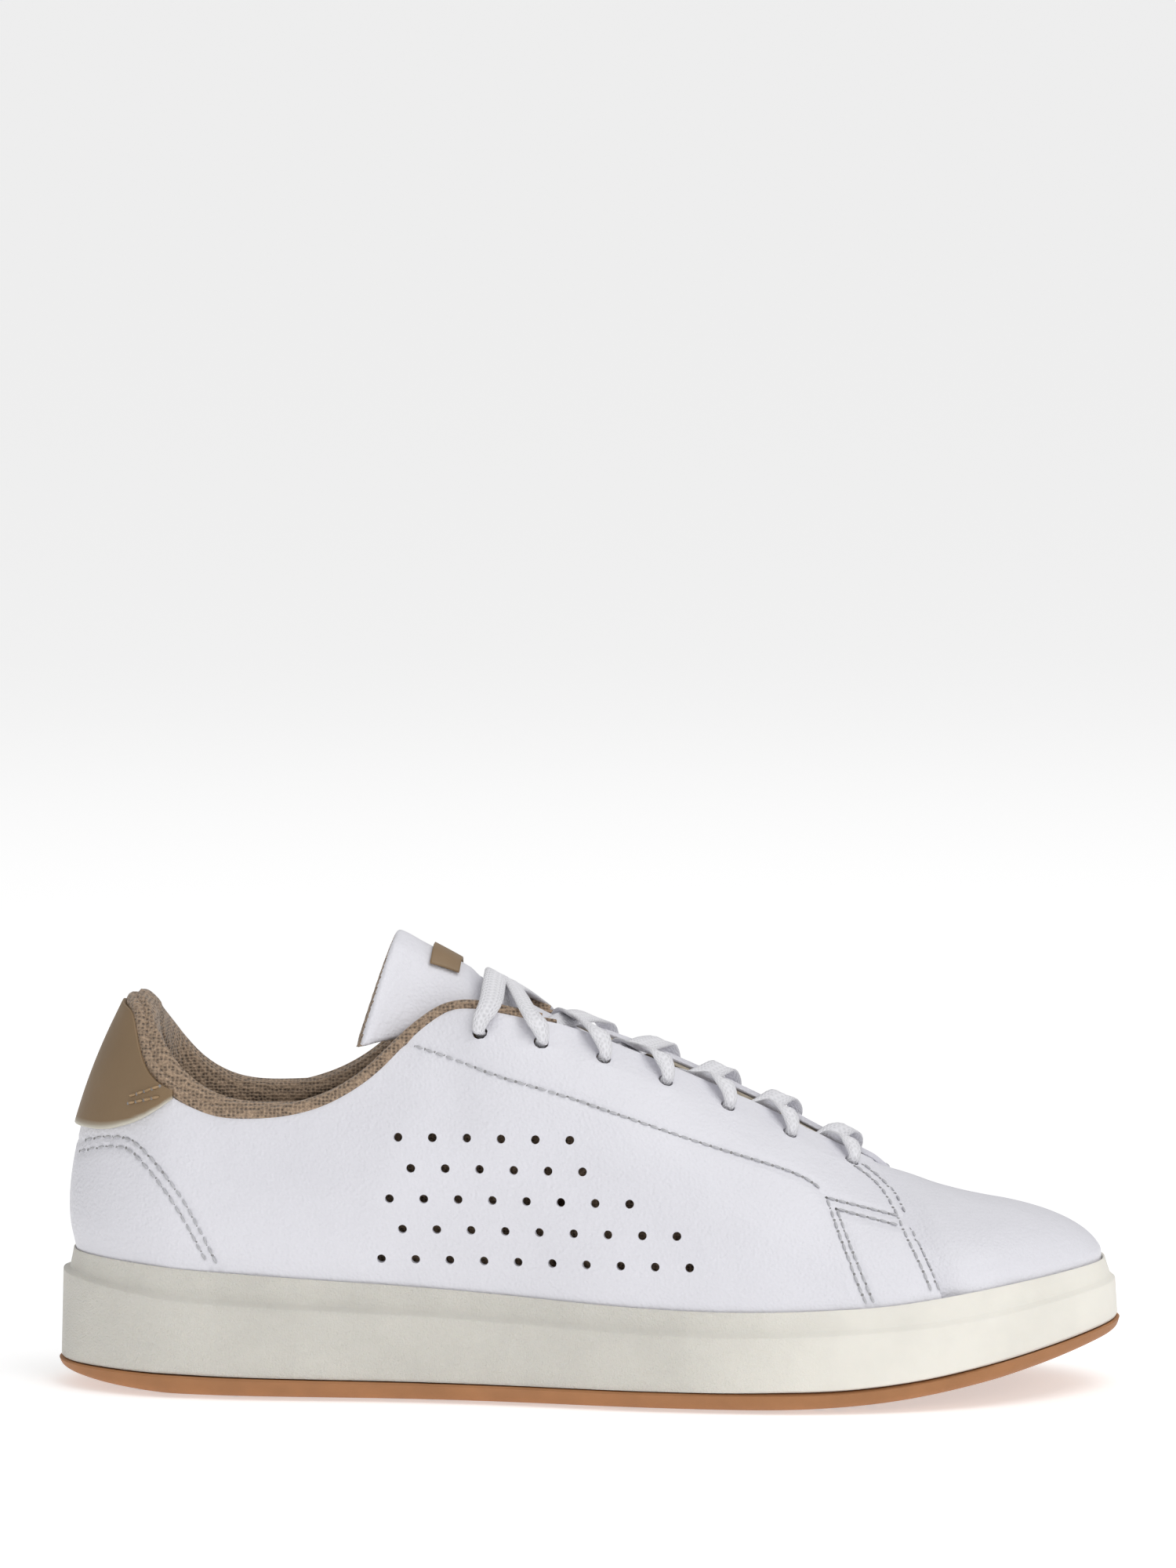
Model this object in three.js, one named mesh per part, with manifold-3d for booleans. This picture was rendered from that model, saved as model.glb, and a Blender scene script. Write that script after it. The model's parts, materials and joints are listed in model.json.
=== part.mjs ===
// Low court shoe, right foot, men's size. Millimetres, +Z up, toe towards +X, outer side towards -Y.
// Every piece of the upper is a layer of one last surface, so a change of size moves all of them together.
import * as THREE from 'three';
import { mergeVertices } from 'three/addons/utils/BufferGeometryUtils.js';
import Module from 'manifold-3d';

const wasm = await Module();
wasm.setup();

// Driving dimensions
const LENGTH = 298;
const WIDTH = 102;
const UPPER_HEIGHT = 112;
const LEATHER = 1.5;
const STIFFENER = 0.8;
const COUNTER = 1.1;
const LINING = 0.8;
const GAP = 0.35;
const COLLAR_SEAM = 1.45;
const LAYER_GAP = 0.55;
const OUTSOLE_FLOOR_GAP = 0.3;
const CUP_FLOOR = 3;
const CUP_LIP = 0.9;
const BOARD = 1.6;
const SOCKLINER = 4;
const TONGUE_COVER = 1;
const TONGUE_FOAM = 2.8;
const TONGUE_LINING = 0.8;
const EYELET_DIAMETER = 4.4;
const EYELETS = 7;
const LACE_WIDTH = 6.8;
const LACE_THICKNESS = 1.2;
const HEEL_TAB = 1.7;
const COLLAR_ROLL = 10;
const LABEL_LENGTH = 9;
const LABEL_WIDTH = 18;
const LABEL_THICKNESS = 0.7;

// Shape of the design last, drawn at 298 x 102 x 112 mm and stretched to the driving dimensions
const along = LENGTH / 298;
const across = WIDTH / 102;
const up = UPPER_HEIGHT / 112;

// Spine coordinate q: x in the middle of the shoe, an angle turned into millimetres round the heel and toe
const HEEL_Q = 35 * along;
const TOE_Q = 262 * along;
const FIRST_Q = -15 * along;
const LAST_Q = 322 * along;

const OUTLINE = [
  [0, 0], [2.6, -12], [13, -22.5], [31, -31], [60, -34.5], [100, -36], [130, -40], [160, -46.5],
  [190, -50.5], [216, -50.5], [243, -45.5], [266, -35], [284, -20], [296, -3], [298, 8], [295, 22],
  [284, 34], [265, 43], [240, 49], [212, 51.5], [180, 46], [150, 36], [120, 31], [90, 31.5], [60, 33.5],
  [35, 33], [15, 25.5], [3, 13],
];

// A smooth curve through [q, value] points that never overshoots them, flat beyond its ends
function curve(points, scaleValue = 1) {
  const xs = points.map(([x]) => x * along);
  const ys = points.map(([, y]) => y * scaleValue);
  const secant = (i) => (ys[i + 1] - ys[i]) / (xs[i + 1] - xs[i]);
  const slope = (i) => {
    if (i === 0) return secant(0);
    if (i === xs.length - 1) return secant(i - 1);
    const a = secant(i - 1);
    const b = secant(i);
    return a * b <= 0 ? 0 : (2 * a * b) / (a + b);
  };
  return (q) => {
    if (q <= xs[0]) return ys[0];
    if (q >= xs[xs.length - 1]) return ys[ys.length - 1];
    let i = 0;
    while (q > xs[i + 1]) i += 1;
    const h = xs[i + 1] - xs[i];
    const t = (q - xs[i]) / h;
    const t2 = t * t;
    const t3 = t2 * t;
    return (2 * t3 - 3 * t2 + 1) * ys[i] + (t3 - 2 * t2 + t) * h * slope(i)
      + (3 * t2 - 2 * t3) * ys[i + 1] + (t3 - t2) * h * slope(i + 1);
  };
}

const spineY = curve([[35, 0.5], [85, -0.8], [120, -1.6], [155, -0.4], [205, 2], [262, 4]], across);

// Sole heights against x
const groundZ = curve([
  [0, 4.6], [10, 2.6], [22, 1.1], [40, 0], [200, 0], [225, 1.1], [250, 4.3], [275, 9.7], [298, 15.8],
], up);
const gumTopZ = curve([
  [0, 7.4], [50, 6.1], [150, 5.4], [215, 5.8], [245, 8.6], [275, 14.6], [298, 19.6],
], up);
const ledgeZ = curve([
  [0, 32.9], [17, 30.1], [40, 27.4], [100, 24.9], [190, 21.6], [240, 23.5], [298, 31],
], up);
const lipZ = curve([
  [0, 38.7], [40, 35.7], [100, 32.2], [190, 27.8], [230, 29.1], [264, 33.2], [298, 36.8],
], up);
const ledgeStep = curve([[0, 2.1], [150, 1.8], [230, 1.1], [270, 0.5], [298, 0.4]]);
const foamTopZ = curve([
  [0, 20.5], [60, 20], [120, 16.5], [190, 13.2], [230, 14.5], [265, 19.6], [298, 26.4],
], up);

// Section curves of the last surface
const topR = curve([
  [-15, 15], [10, 16.5], [35, 23], [60, 26.5], [84, 27.5], [95, 26], [105, 13], [113, 2], [117, 0],
  [322, 0],
], across);
const topZ = curve([
  [-15, 108], [5, 106.5], [20, 102], [28, 98.5], [35, 94], [42, 89], [50, 85.8], [67, 84.6], [76, 87.6],
  [85, 93], [93, 99.5], [100, 107.5], [108, 118], [116, 123.6], [123, 121.8], [128, 119], [135, 114.8],
  [150, 107.2], [163, 100.6], [181, 91.6], [200, 81.8], [216, 72.6], [230, 65], [238, 60.4], [247, 57],
  [256, 54.7], [262, 53.4], [322, 53.4],
], up);
const topAngle = curve([
  [-15, 62], [35, 74], [66, 82], [90, 76], [100, 50], [112, 12], [120, 4], [150, 1], [322, 0],
]);
const topHandle = curve([
  [-15, 30], [35, 22], [66, 18], [98, 26], [126, 35], [150, 34], [200, 26], [230, 22], [262, 19],
  [322, 20],
], across);
const wallBulge = curve([
  [-15, 1.5], [35, 0], [66, -1.2], [98, 0], [126, 1], [150, -0.5], [200, -2.5], [230, -3.2], [262, -4.6],
  [322, -5],
], across);
const wallZ = curve([
  [-15, 52], [35, 50], [66, 47], [98, 58], [126, 75], [150, 68], [200, 50], [230, 45], [262, 44],
  [322, 43],
], up);
const TOE_SLOPE_DEG = 9;

// Edges of the panels
const edgeZ = curve([
  [-15, 101], [10, 97], [25, 90], [34, 83.8], [40, 80.8], [48, 78.9], [57, 78.7], [67, 79.8], [76, 82.3],
  [85, 87.4], [93, 93.3], [99, 99.5], [104, 104.6], [109, 108.4], [114, 109.9], [121, 109.6], [129, 107],
  [135, 104.1],
], up);
const throatHalf = curve([
  [120, 25], [135, 21.5], [150, 18.5], [175, 14.5], [200, 11], [218, 8.4], [230, 6],
], across);
const crestZ = curve([
  [-15, 112], [5, 110.8], [20, 105], [28, 100], [35, 93.6], [41, 88], [48, 84.6], [57, 83], [67, 83],
  [76, 85.2], [85, 90.2], [93, 96], [99, 102], [104, 107], [109, 110.7], [114, 112.2], [121, 111.9],
  [129, 109.4], [140, 104.4],
], up);
const rollThickness = curve([
  [-15, 1], [35, 0.9], [60, 0.8], [82, 0.7], [96, 0.5], [108, 0.46], [141, 0.46],
], COLLAR_ROLL);
const EYELET_FIRST_X = 120.2;
const EYELET_LAST_X = 223.5;
const EYELET_FROM_EDGE = 7.2;
const LACE_END_SHIFT = 11.5;

const MARGIN_V = 0.12;
const LIP_INSET = CUP_LIP + 3.8;
const MARGIN_INSET = LIP_INSET + 1.3;

const outline = new THREE.CatmullRomCurve3(
  OUTLINE.map(([x, y]) => new THREE.Vector3(x * along, y * across, 0)), true, 'centripetal').getPoints(420);

// Distance from a spine point to the sole outline along a direction
function reach(centre, direction) {
  let best = 0;
  for (let i = 0; i < outline.length - 1; i += 1) {
    const a = outline[i];
    const b = outline[i + 1];
    const ex = b.x - a.x;
    const ey = b.y - a.y;
    const det = ex * direction.y - ey * direction.x;
    if (Math.abs(det) < 1e-12) continue;
    const ax = a.x - centre.x;
    const ay = a.y - centre.y;
    const t = (ex * ay - ey * ax) / det;
    const k = (direction.x * ay - direction.y * ax) / det;
    if (k >= -1e-9 && k <= 1 + 1e-9 && t > best) best = t;
  }
  return best;
}

const stations = new Map();
function station(side, q) {
  const key = `${side}:${q}`;
  if (stations.has(key)) return stations.get(key);
  const centre = new THREE.Vector2(q, spineY(q));
  const direction = new THREE.Vector2(0, side);
  if (q < HEEL_Q) {
    const angle = (Math.PI / 2) * (q - FIRST_Q) / (HEEL_Q - FIRST_Q);
    centre.set(HEEL_Q, spineY(HEEL_Q));
    direction.set(-Math.cos(angle), side * Math.sin(angle));
  } else if (q > TOE_Q) {
    const angle = (Math.PI / 2) * (q - TOE_Q) / (LAST_Q - TOE_Q);
    centre.set(TOE_Q, spineY(TOE_Q));
    direction.set(Math.sin(angle), side * Math.cos(angle));
  }
  const radius = reach(centre, direction);
  const made = { centre, direction, radius, edgeX: centre.x + direction.x * radius };
  stations.set(key, made);
  return made;
}

const mix = THREE.MathUtils.lerp;

// Point of the last surface in its section plane: v runs from the lasting margin (0) to the top (1)
function section(side, q, v) {
  const { direction, radius, edgeX } = station(side, q);
  if (v < MARGIN_V) {
    const share = v / MARGIN_V;
    return [radius - mix(MARGIN_INSET, LIP_INSET, share), mix(marginZ(edgeX), lipZ(edgeX), share)];
  }
  const t = (v - MARGIN_V) / (1 - MARGIN_V);
  const tilt = q > TOE_Q ? TOE_SLOPE_DEG * direction.x : topAngle(q);
  const angle = THREE.MathUtils.degToRad(tilt);
  const handle = topHandle(q) * (q < HEEL_Q || q > TOE_Q ? 1 : radius / station(-1, q).radius);
  const p = [
    [radius - LIP_INSET, lipZ(edgeX)],
    [radius + wallBulge(q), wallZ(q)],
    [topR(q) + handle * Math.cos(angle), topZ(q) - handle * Math.sin(angle)],
    [topR(q), topZ(q)],
  ];
  const s = 1 - t;
  const weights = [s * s * s, 3 * s * s * t, 3 * s * t * t, t * t * t];
  return [0, 1].map((i) => weights.reduce((sum, weight, j) => sum + weight * p[j][i], 0));
}

function marginZ(x) {
  return foamTopZ(x) + OUTSOLE_FLOOR_GAP + BOARD + GAP;
}

function place(side, q, r, z) {
  const { centre, direction } = station(side, q);
  return new THREE.Vector3(centre.x + direction.x * r, centre.y + direction.y * r, z);
}

function surface(side, q, v) {
  const [r, z] = section(side, q, v);
  return place(side, q, r, z);
}

// Outward normal of the last surface
function normal(side, q, v) {
  if (v > 0.9995 && topR(q) < 1e-6) {
    const x = Math.min(q, TOE_Q);
    const rise = (topZ(x) - topZ(x - 0.5)) / 0.5;
    return new THREE.Vector3(-rise, 0, 1).normalize();
  }
  const dq = 0.25 * along;
  const dv = 0.002;
  const q0 = Math.max(q - dq, FIRST_Q);
  const q1 = Math.min(q + dq, LAST_Q);
  const v0 = v - dv < MARGIN_V && v >= MARGIN_V ? v : Math.max(v - dv, 0);
  const v1 = Math.min(v + dv, 1);
  const a = surface(side, q1, v).sub(surface(side, q0, v));
  const b = surface(side, q, v1).sub(surface(side, q, v0));
  const n = a.cross(b).normalize();
  const { direction } = station(side, q);
  if (n.x * direction.x + n.y * direction.y + 0.6 * n.z < 0) n.negate();
  return n;
}

// Point a distance d inside the last surface (negative d lies outside it)
function layer(side, q, v, d) {
  return surface(side, q, v).addScaledVector(normal(side, q, v), -d);
}

// Halving search for the place between low and high where f turns from true to false
const HALVINGS = 40;
function solve(f, low, high) {
  let a = low;
  let b = high;
  for (let i = 0; i < HALVINGS; i += 1) {
    const m = (a + b) / 2;
    if (f(m)) a = m;
    else b = m;
  }
  return (a + b) / 2;
}

const vAtZ = (side, q, z) => solve((v) => section(side, q, v)[1] < z, 0, 1);
const vAtR = (side, q, r) => solve((v) => section(side, q, v)[0] > r, 0.3, 1);

// Top edge of the quarters: the collar line at the back, the throat line in front
function vEdge(side, q) {
  const k = THREE.MathUtils.smoothstep(q, 122 * along, 140 * along);
  const low = k < 1 ? vAtZ(side, q, edgeZ(q)) : 0;
  const high = k > 0 ? vAtR(side, q, throatHalf(q)) : 0;
  return mix(low, high, k);
}

// Points nearer than this are one point
const WELD = 1e-4;

// A growing list of triangles and four-sided faces
function faceList() {
  const positions = [];
  const tri = (a, b, c) => positions.push(a.x, a.y, a.z, b.x, b.y, b.z, c.x, c.y, c.z);
  const quad = (a, b, c, d) => {
    tri(a, b, c);
    tri(a, c, d);
  };
  return { positions, tri, quad };
}

// Closed body from triangles, welded, with its faces outwards
function closed(positions) {
  const geometry = new THREE.BufferGeometry();
  geometry.setAttribute('position', new THREE.Float32BufferAttribute(positions, 3));
  const welded = mergeVertices(geometry, WELD);
  const source = welded.index.array;
  const p = welded.attributes.position;
  const kept = [];
  let volume = 0;
  const a = new THREE.Vector3();
  const b = new THREE.Vector3();
  const c = new THREE.Vector3();
  for (let i = 0; i < source.length; i += 3) {
    const [i0, i1, i2] = [source[i], source[i + 1], source[i + 2]];
    if (i0 === i1 || i1 === i2 || i0 === i2) continue;
    kept.push(i0, i1, i2);
    a.fromBufferAttribute(p, i0);
    b.fromBufferAttribute(p, i1);
    c.fromBufferAttribute(p, i2);
    volume += a.dot(b.cross(c));
  }
  if (volume < 0) kept.reverse();
  welded.setIndex(kept);
  return welded;
}

// Closed body between two matching grids of points; a wall closes each edge that is asked for
function between(outer, inner, walls = { start: true, end: true, low: true, high: true }) {
  const { positions, quad } = faceList();
  const n = outer.length - 1;
  const m = outer[0].length - 1;
  for (let i = 0; i < n; i += 1) {
    for (let j = 0; j < m; j += 1) {
      quad(outer[i][j], outer[i + 1][j], outer[i + 1][j + 1], outer[i][j + 1]);
      quad(inner[i][j], inner[i][j + 1], inner[i + 1][j + 1], inner[i + 1][j]);
    }
    if (walls.low) quad(outer[i + 1][0], outer[i][0], inner[i][0], inner[i + 1][0]);
    if (walls.high) quad(outer[i][m], outer[i + 1][m], inner[i + 1][m], inner[i][m]);
  }
  for (let j = 0; j < m; j += 1) {
    if (walls.start) quad(outer[0][j], outer[0][j + 1], inner[0][j + 1], inner[0][j]);
    if (walls.end) quad(outer[n][j + 1], outer[n][j], inner[n][j], inner[n][j + 1]);
  }
  return closed(positions);
}

// Fraction along a length of q with half as long steps round the heel
function heelSpaced(to, k) {
  const share = 0.36;
  return k < share ? mix(FIRST_Q, HEEL_Q, k / share) : mix(HEEL_Q, to, (k - share) / (1 - share));
}

// Panel of one side: qAt(a, b) gives q at length a and height b (0 to 1), low() and high() give v at q
function sidePanel(side, qAt, low, high, d0, d1, columns, rows) {
  const sheet = (d) => Array.from({ length: columns + 1 }, (_, i) => (
    Array.from({ length: rows + 1 }, (__, j) => {
      const b = j / rows;
      const q = qAt(i / columns, b);
      return layer(side, q, mix(low(q), high(q), b), d);
    })
  ));
  return between(sheet(d0), sheet(d1));
}

// Panel that wraps the heel or the toe: a runs from -1 (outer side) to 1 (inner side)
function wrapPanel(qAt, low, high, d0, d1, columns, rows, closedTop) {
  const sheet = (d) => Array.from({ length: 2 * columns + 1 }, (_, i) => {
    const a = i / columns - 1;
    const side = a <= 0 ? -1 : 1;
    return Array.from({ length: rows + 1 }, (__, j) => {
      const b = j / rows;
      const q = qAt(Math.abs(a), b);
      const v = mix(low(side, q), high(side, q), b);
      return layer(side, q, v, typeof d === 'function' ? d(q, b) : d);
    });
  });
  return between(sheet(d0), sheet(d1), { start: true, end: true, low: true, high: !closedTop });
}

// Body swept round the whole shoe from a profile of [r, height] points that starts and ends on the spine;
// a height is a function of x, so that a level surface stays one surface round the heel and toe
function roundBody(profile, heelSteps = 7, middleSteps = 16, toeSteps = 8) {
  const qs = [];
  for (let i = 0; i < heelSteps; i += 1) qs.push(mix(FIRST_Q, HEEL_Q, i / heelSteps));
  for (let i = 0; i < middleSteps; i += 1) qs.push(mix(HEEL_Q, TOE_Q, i / middleSteps));
  for (let i = 0; i <= toeSteps; i += 1) qs.push(mix(TOE_Q, LAST_Q, i / toeSteps));
  const columns = [...qs.map((q) => [-1, q]), ...qs.slice(1, -1).reverse().map((q) => [1, q])];
  columns.push(columns[0]);
  const rings = columns.map(([side, q]) => profile(station(side, q)).map(([r, height]) => {
    const point = place(side, q, r, 0);
    return point.setZ(height(point.x));
  }));
  const { positions, quad } = faceList();
  for (let i = 0; i < rings.length - 1; i += 1) {
    for (let j = 0; j < rings[i].length - 1; j += 1) {
      quad(rings[i][j], rings[i + 1][j], rings[i + 1][j + 1], rings[i][j + 1]);
    }
  }
  return closed(positions);
}

function toManifold(geometry) {
  const plain = geometry.clone();
  plain.deleteAttribute('normal');
  plain.deleteAttribute('uv');
  const merged = mergeVertices(plain, WELD);
  return new wasm.Manifold(new wasm.Mesh({
    numProp: 3,
    vertProperties: new Float32Array(merged.attributes.position.array),
    triVerts: new Uint32Array(merged.index.array),
  }));
}

function toGeometry(solid) {
  const mesh = solid.getMesh();
  const geometry = new THREE.BufferGeometry();
  geometry.setAttribute('position', new THREE.Float32BufferAttribute(mesh.vertProperties, 3));
  geometry.setIndex(Array.from(mesh.triVerts));
  return geometry;
}

const group = new THREE.Group();
group.name = 'court_shoe';

const finish = {
  white: { color: 0xe9e9ee, roughness: 0.55, metalness: 0 },
  cream: { color: 0xe2dfd2, roughness: 0.7, metalness: 0 },
  gum: { color: 0xa9713f, roughness: 0.65, metalness: 0 },
  tan: { color: 0x7f6848, roughness: 0.6, metalness: 0 },
  mesh: { color: 0x9a8268, roughness: 0.9, metalness: 0 },
  foam: { color: 0xd8d2c0, roughness: 0.95, metalness: 0 },
  board: { color: 0xb9ae98, roughness: 0.9, metalness: 0 },
  lace: { color: 0xf1f0f6, roughness: 0.85, metalness: 0 },
};

function add(name, geometry, look) {
  const mesh = new THREE.Mesh(geometry, new THREE.MeshStandardMaterial(finish[look]));
  mesh.name = name;
  group.add(mesh);
}

// Sole unit
const blend = (low, high, k) => (x) => mix(low(x), high(x), k);
const above = (height, d) => (x) => height(x) + d;

function outsole() {
  return roundBody(({ radius }) => [
    [0, groundZ], [radius - 3, groundZ], [radius - 0.6, blend(groundZ, gumTopZ, 0.3)],
    [radius, blend(groundZ, gumTopZ, 0.6)], [radius, gumTopZ], [0, gumTopZ],
  ]);
}

const cupBottom = above(gumTopZ, OUTSOLE_FLOOR_GAP);
const cupFloor = above(cupBottom, CUP_FLOOR);

// Slope between the floor of the cup and its wall
const INNER_FILLET = 1.2;

function cupsole() {
  const lipOut = LIP_INSET - GAP - CUP_LIP;
  return roundBody(({ radius, edgeX }) => {
    const foot = Math.max(lipOut - 0.7, 1.5) - 0.6 + 0.3 * ledgeStep(edgeX);
    const inside = radius - MARGIN_INSET + GAP;
    return [
      [0, cupBottom], [radius - 1.2, cupBottom], [radius - 0.2, above(cupBottom, 1)],
      [radius - 0.8, above(ledgeZ, -0.7)], [radius - 1.4, ledgeZ], [radius - foot, above(ledgeZ, 0.9)],
      [radius - lipOut - 0.4 * CUP_LIP, lipZ], [radius - lipOut - CUP_LIP, above(lipZ, -0.3)],
      [inside, marginZ], [inside, above(cupFloor, INNER_FILLET)],
      [radius - MARGIN_INSET - INNER_FILLET, cupFloor], [0, cupFloor],
    ];
  });
}

// Level slab that stops a distance inside the outline
function slab(inside, low, high, bevel = 0) {
  return roundBody(({ radius }) => {
    const edge = radius - inside;
    return [
      [0, low], [edge - 1, low], [edge, above(low, bevel)],
      [edge, above(high, -bevel)], [edge - 1.5, high], [0, high],
    ];
  });
}

const boardLow = above(foamTopZ, OUTSOLE_FLOOR_GAP);
const boardHigh = above(boardLow, BOARD);
const liningDepth = LEATHER + COUNTER + LINING + 2 * LAYER_GAP;

add('outsole', outsole(), 'gum');
add('cupsole', cupsole(), 'cream');
const SOCKLINER_EASE = 1.7;
const footbed = above(boardHigh, GAP);
add('midsole_foam', slab(MARGIN_INSET + INNER_FILLET, above(cupFloor, GAP), foamTopZ, 0.4), 'foam');
add('strobel_board', slab(MARGIN_INSET + GAP, boardLow, boardHigh), 'board');
const socklinerInset = MARGIN_INSET + liningDepth + SOCKLINER_EASE;
add('sockliner', slab(socklinerInset, footbed, above(footbed, SOCKLINER), 0.6), 'mesh');

// Layers of the upper
const seamQ = (b) => (251 - 14 * b - 8 * b * b) * along;
const backSeam = 0.2;
const stiffenerFrom = LEATHER + LAYER_GAP;
const stiffenerTo = stiffenerFrom + STIFFENER;
const liningFrom = stiffenerFrom + COUNTER + LAYER_GAP;
const liningTo = liningFrom + LINING;
const facingLining = stiffenerTo + LAYER_GAP;
const UNDERLAP = 9;
const VAMP_START = 226;

function quarter(side) {
  return sidePanel(side, (a, b) => Math.max(heelSpaced(seamQ(b), a), FIRST_Q + backSeam),
    () => 0, (q) => vEdge(side, q), 0, LEATHER, 33, 8);
}

// Vamp: dips one leather thickness to pass under the quarters, and comes level beyond the seam
function vampDepth(q, b) {
  const beyond = (q - seamQ(b)) / along;
  return (LEATHER + GAP) * (1 - THREE.MathUtils.smoothstep(beyond, 0.5, 9));
}

function vampQ(a, b) {
  const start = Math.max(seamQ(b) - UNDERLAP * along * (1 - 0.5 * b), VAMP_START * along - 2);
  return mix(start, LAST_Q, a < 0.5 ? 0.6 * a : 0.3 + 1.4 * (a - 0.5));
}

function vamp() {
  return wrapPanel((a, b) => vampQ(1 - a, b), () => 0, () => 1,
    (q, b) => vampDepth(q, b), (q, b) => vampDepth(q, b) + LEATHER, 16, 8, true);
}

const TOE_LINING_EASE = 1.2;
const toePuffFrom = LEATHER + GAP;
const toeLiningFrom = toePuffFrom + STIFFENER + GAP + TOE_LINING_EASE;

function toePuff() {
  return wrapPanel((a) => mix(LAST_Q, 268 * along, a), () => 0.02, () => 0.93,
    toePuffFrom, toePuffFrom + STIFFENER, 9, 5, false);
}

function vampLining() {
  return wrapPanel((a) => mix(LAST_Q, 243 * along, a), () => 0, () => 1,
    toeLiningFrom, toeLiningFrom + LINING, 12, 7, true);
}

function heelCounter() {
  const high = curve([[-15, 66], [20, 62], [45, 52], [62, 40]], up);
  const qAt = (a) => (a < 0.7 ? mix(FIRST_Q, HEEL_Q, a / 0.7) : mix(HEEL_Q, 62 * along, (a - 0.7) / 0.3));
  return wrapPanel(qAt,
    () => 0, (side, q) => vAtZ(side, q, high(q)), stiffenerFrom, stiffenerFrom + COUNTER, 13, 4, false);
}

function eyestay(side) {
  const low = curve([
    [113, 95.5], [126, 91.4], [143, 86.7], [159, 81], [176, 74.8], [193, 69.3], [208, 64.5], [221, 58],
  ], up);
  return sidePanel(side, (a, b) => mix(113, mix(221, 226, b), a) * along,
    (q) => vAtZ(side, q, low(q)), (q) => vEdge(side, q), stiffenerFrom, stiffenerTo, 15, 3);
}

function forefootStay(side) {
  const high = curve([[214, 52.5], [226, 51.5], [240, 48]], up);
  return sidePanel(side, (a, b) => mix(mix(224, 216, b), mix(239, 232, b), a) * along,
    () => 0.01, (q) => vAtZ(side, q, high(q)), stiffenerFrom, stiffenerTo, 4, 5);
}

function quarterLining(side) {
  return sidePanel(side, (a, b) => mix(144.5, mix(240, 226, b), a) * along,
    () => 0, (q) => vEdge(side, q), facingLining, facingLining + LINING, 13, 6);
}

// Collar lining: from the top edge of the quarter over the padded roll and down to the footbed
function collarPath(side, q) {
  const edge = vEdge(side, q);
  const roll = rollThickness(q);
  const [edgeR, edgeHeight] = section(side, q, edge);
  const crest = Math.max(crestZ(q), edgeHeight + 1.6);
  const startZ = edgeHeight + COLLAR_SEAM;
  const low = marginZ(station(side, q).edgeX);
  const at = (z) => {
    const v = vAtZ(side, q, Math.min(z, edgeHeight));
    return layerSection(side, q, v, liningTo + 0.2);
  };
  const middle = crest - 2.4 * roll;
  const shoulderZ = Math.min(mix(startZ, crest, 0.62), topZ(q) - 0.3);
  const shoulderR = section(side, q, vAtZ(side, q, shoulderZ))[0] - 0.03 * roll;
  const frame = layerSection(side, q, edge, 1);
  const n = [frame[0] - edgeR, frame[1] - edgeHeight];
  const local = (t, d) => [edgeR + n[1] * t + n[0] * d, edgeHeight - n[0] * t + n[1] * d];
  const flat = [
    local(COLLAR_SEAM, 0), local(COLLAR_SEAM + 0.6, 0.1 * roll), local(COLLAR_SEAM + 1, 0.5 * roll),
    local(COLLAR_SEAM + 0.4, 0.9 * roll), local(-0.6 * roll, roll),
  ];
  const startR = section(side, q, vAtZ(side, q, startZ))[0];
  const padded = [
    [startR, startZ], [shoulderR, shoulderZ], [shoulderR - 0.42 * roll, crest],
    [shoulderR - 0.86 * roll, mix(edgeHeight, crest, 0.3)], [edgeR - roll, edgeHeight - 0.55 * roll],
  ];
  const k = THREE.MathUtils.smoothstep(q, 90 * along, 104 * along);
  const points = padded.map(([r, z], i) => [mix(r, flat[i][0], k), mix(z, flat[i][1], k)]);
  const lower = [0.1, 0.28, 0.46, 0.64, 0.82, 1].map((share) => {
    const z = mix(middle, low, share);
    return [at(z)[0], z];
  });
  return [...points, ...lower];
}

// Section point a distance d inside the last surface, measured in the section plane
function layerSection(side, q, v, d) {
  const [r0, z0] = section(side, q, Math.max(v - 0.01, 0));
  const [r1, z1] = section(side, q, Math.min(v + 0.01, 1));
  const [r, z] = section(side, q, v);
  const length = Math.hypot(r1 - r0, z1 - z0);
  return [r - d * (z1 - z0) / length, z + d * (r1 - r0) / length];
}

function smoothPath(points, steps) {
  const corners = points.map(([r, z]) => new THREE.Vector3(r, z, 0));
  const path = new THREE.CatmullRomCurve3(corners, false, 'centripetal');
  return path.getPoints(steps).map((p) => [p.x, p.y]);
}

// Moves a path sideways towards the padding inside the roll
function inset(path, d) {
  return path.map(([r, z], i) => {
    const [r0, z0] = path[Math.max(i - 1, 0)];
    const [r1, z1] = path[Math.min(i + 1, path.length - 1)];
    const length = Math.hypot(r1 - r0, z1 - z0);
    return [r + d * (z0 - z1) / length, z + d * (r1 - r0) / length];
  });
}

const COLLAR_FRONT = 141;
const FOAM_FRONT = 92;
const PATH_STEPS = 12;
const FOAM_STEPS = 7;
const COLLAR_COLUMNS = 21;
const collarColumns = Array.from({ length: 2 * COLLAR_COLUMNS + 1 }, (_, i) => {
  const a = Math.abs(i - COLLAR_COLUMNS) / COLLAR_COLUMNS;
  return [i <= COLLAR_COLUMNS ? -1 : 1, heelSpaced(COLLAR_FRONT * along, a)];
});

function collarLining() {
  const sheet = (d) => collarColumns.map(([side, q]) => (
    inset(smoothPath(collarPath(side, q), PATH_STEPS), d).map(([r, z]) => place(side, q, r, z))
  ));
  return between(sheet(0), sheet(LINING));
}

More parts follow.
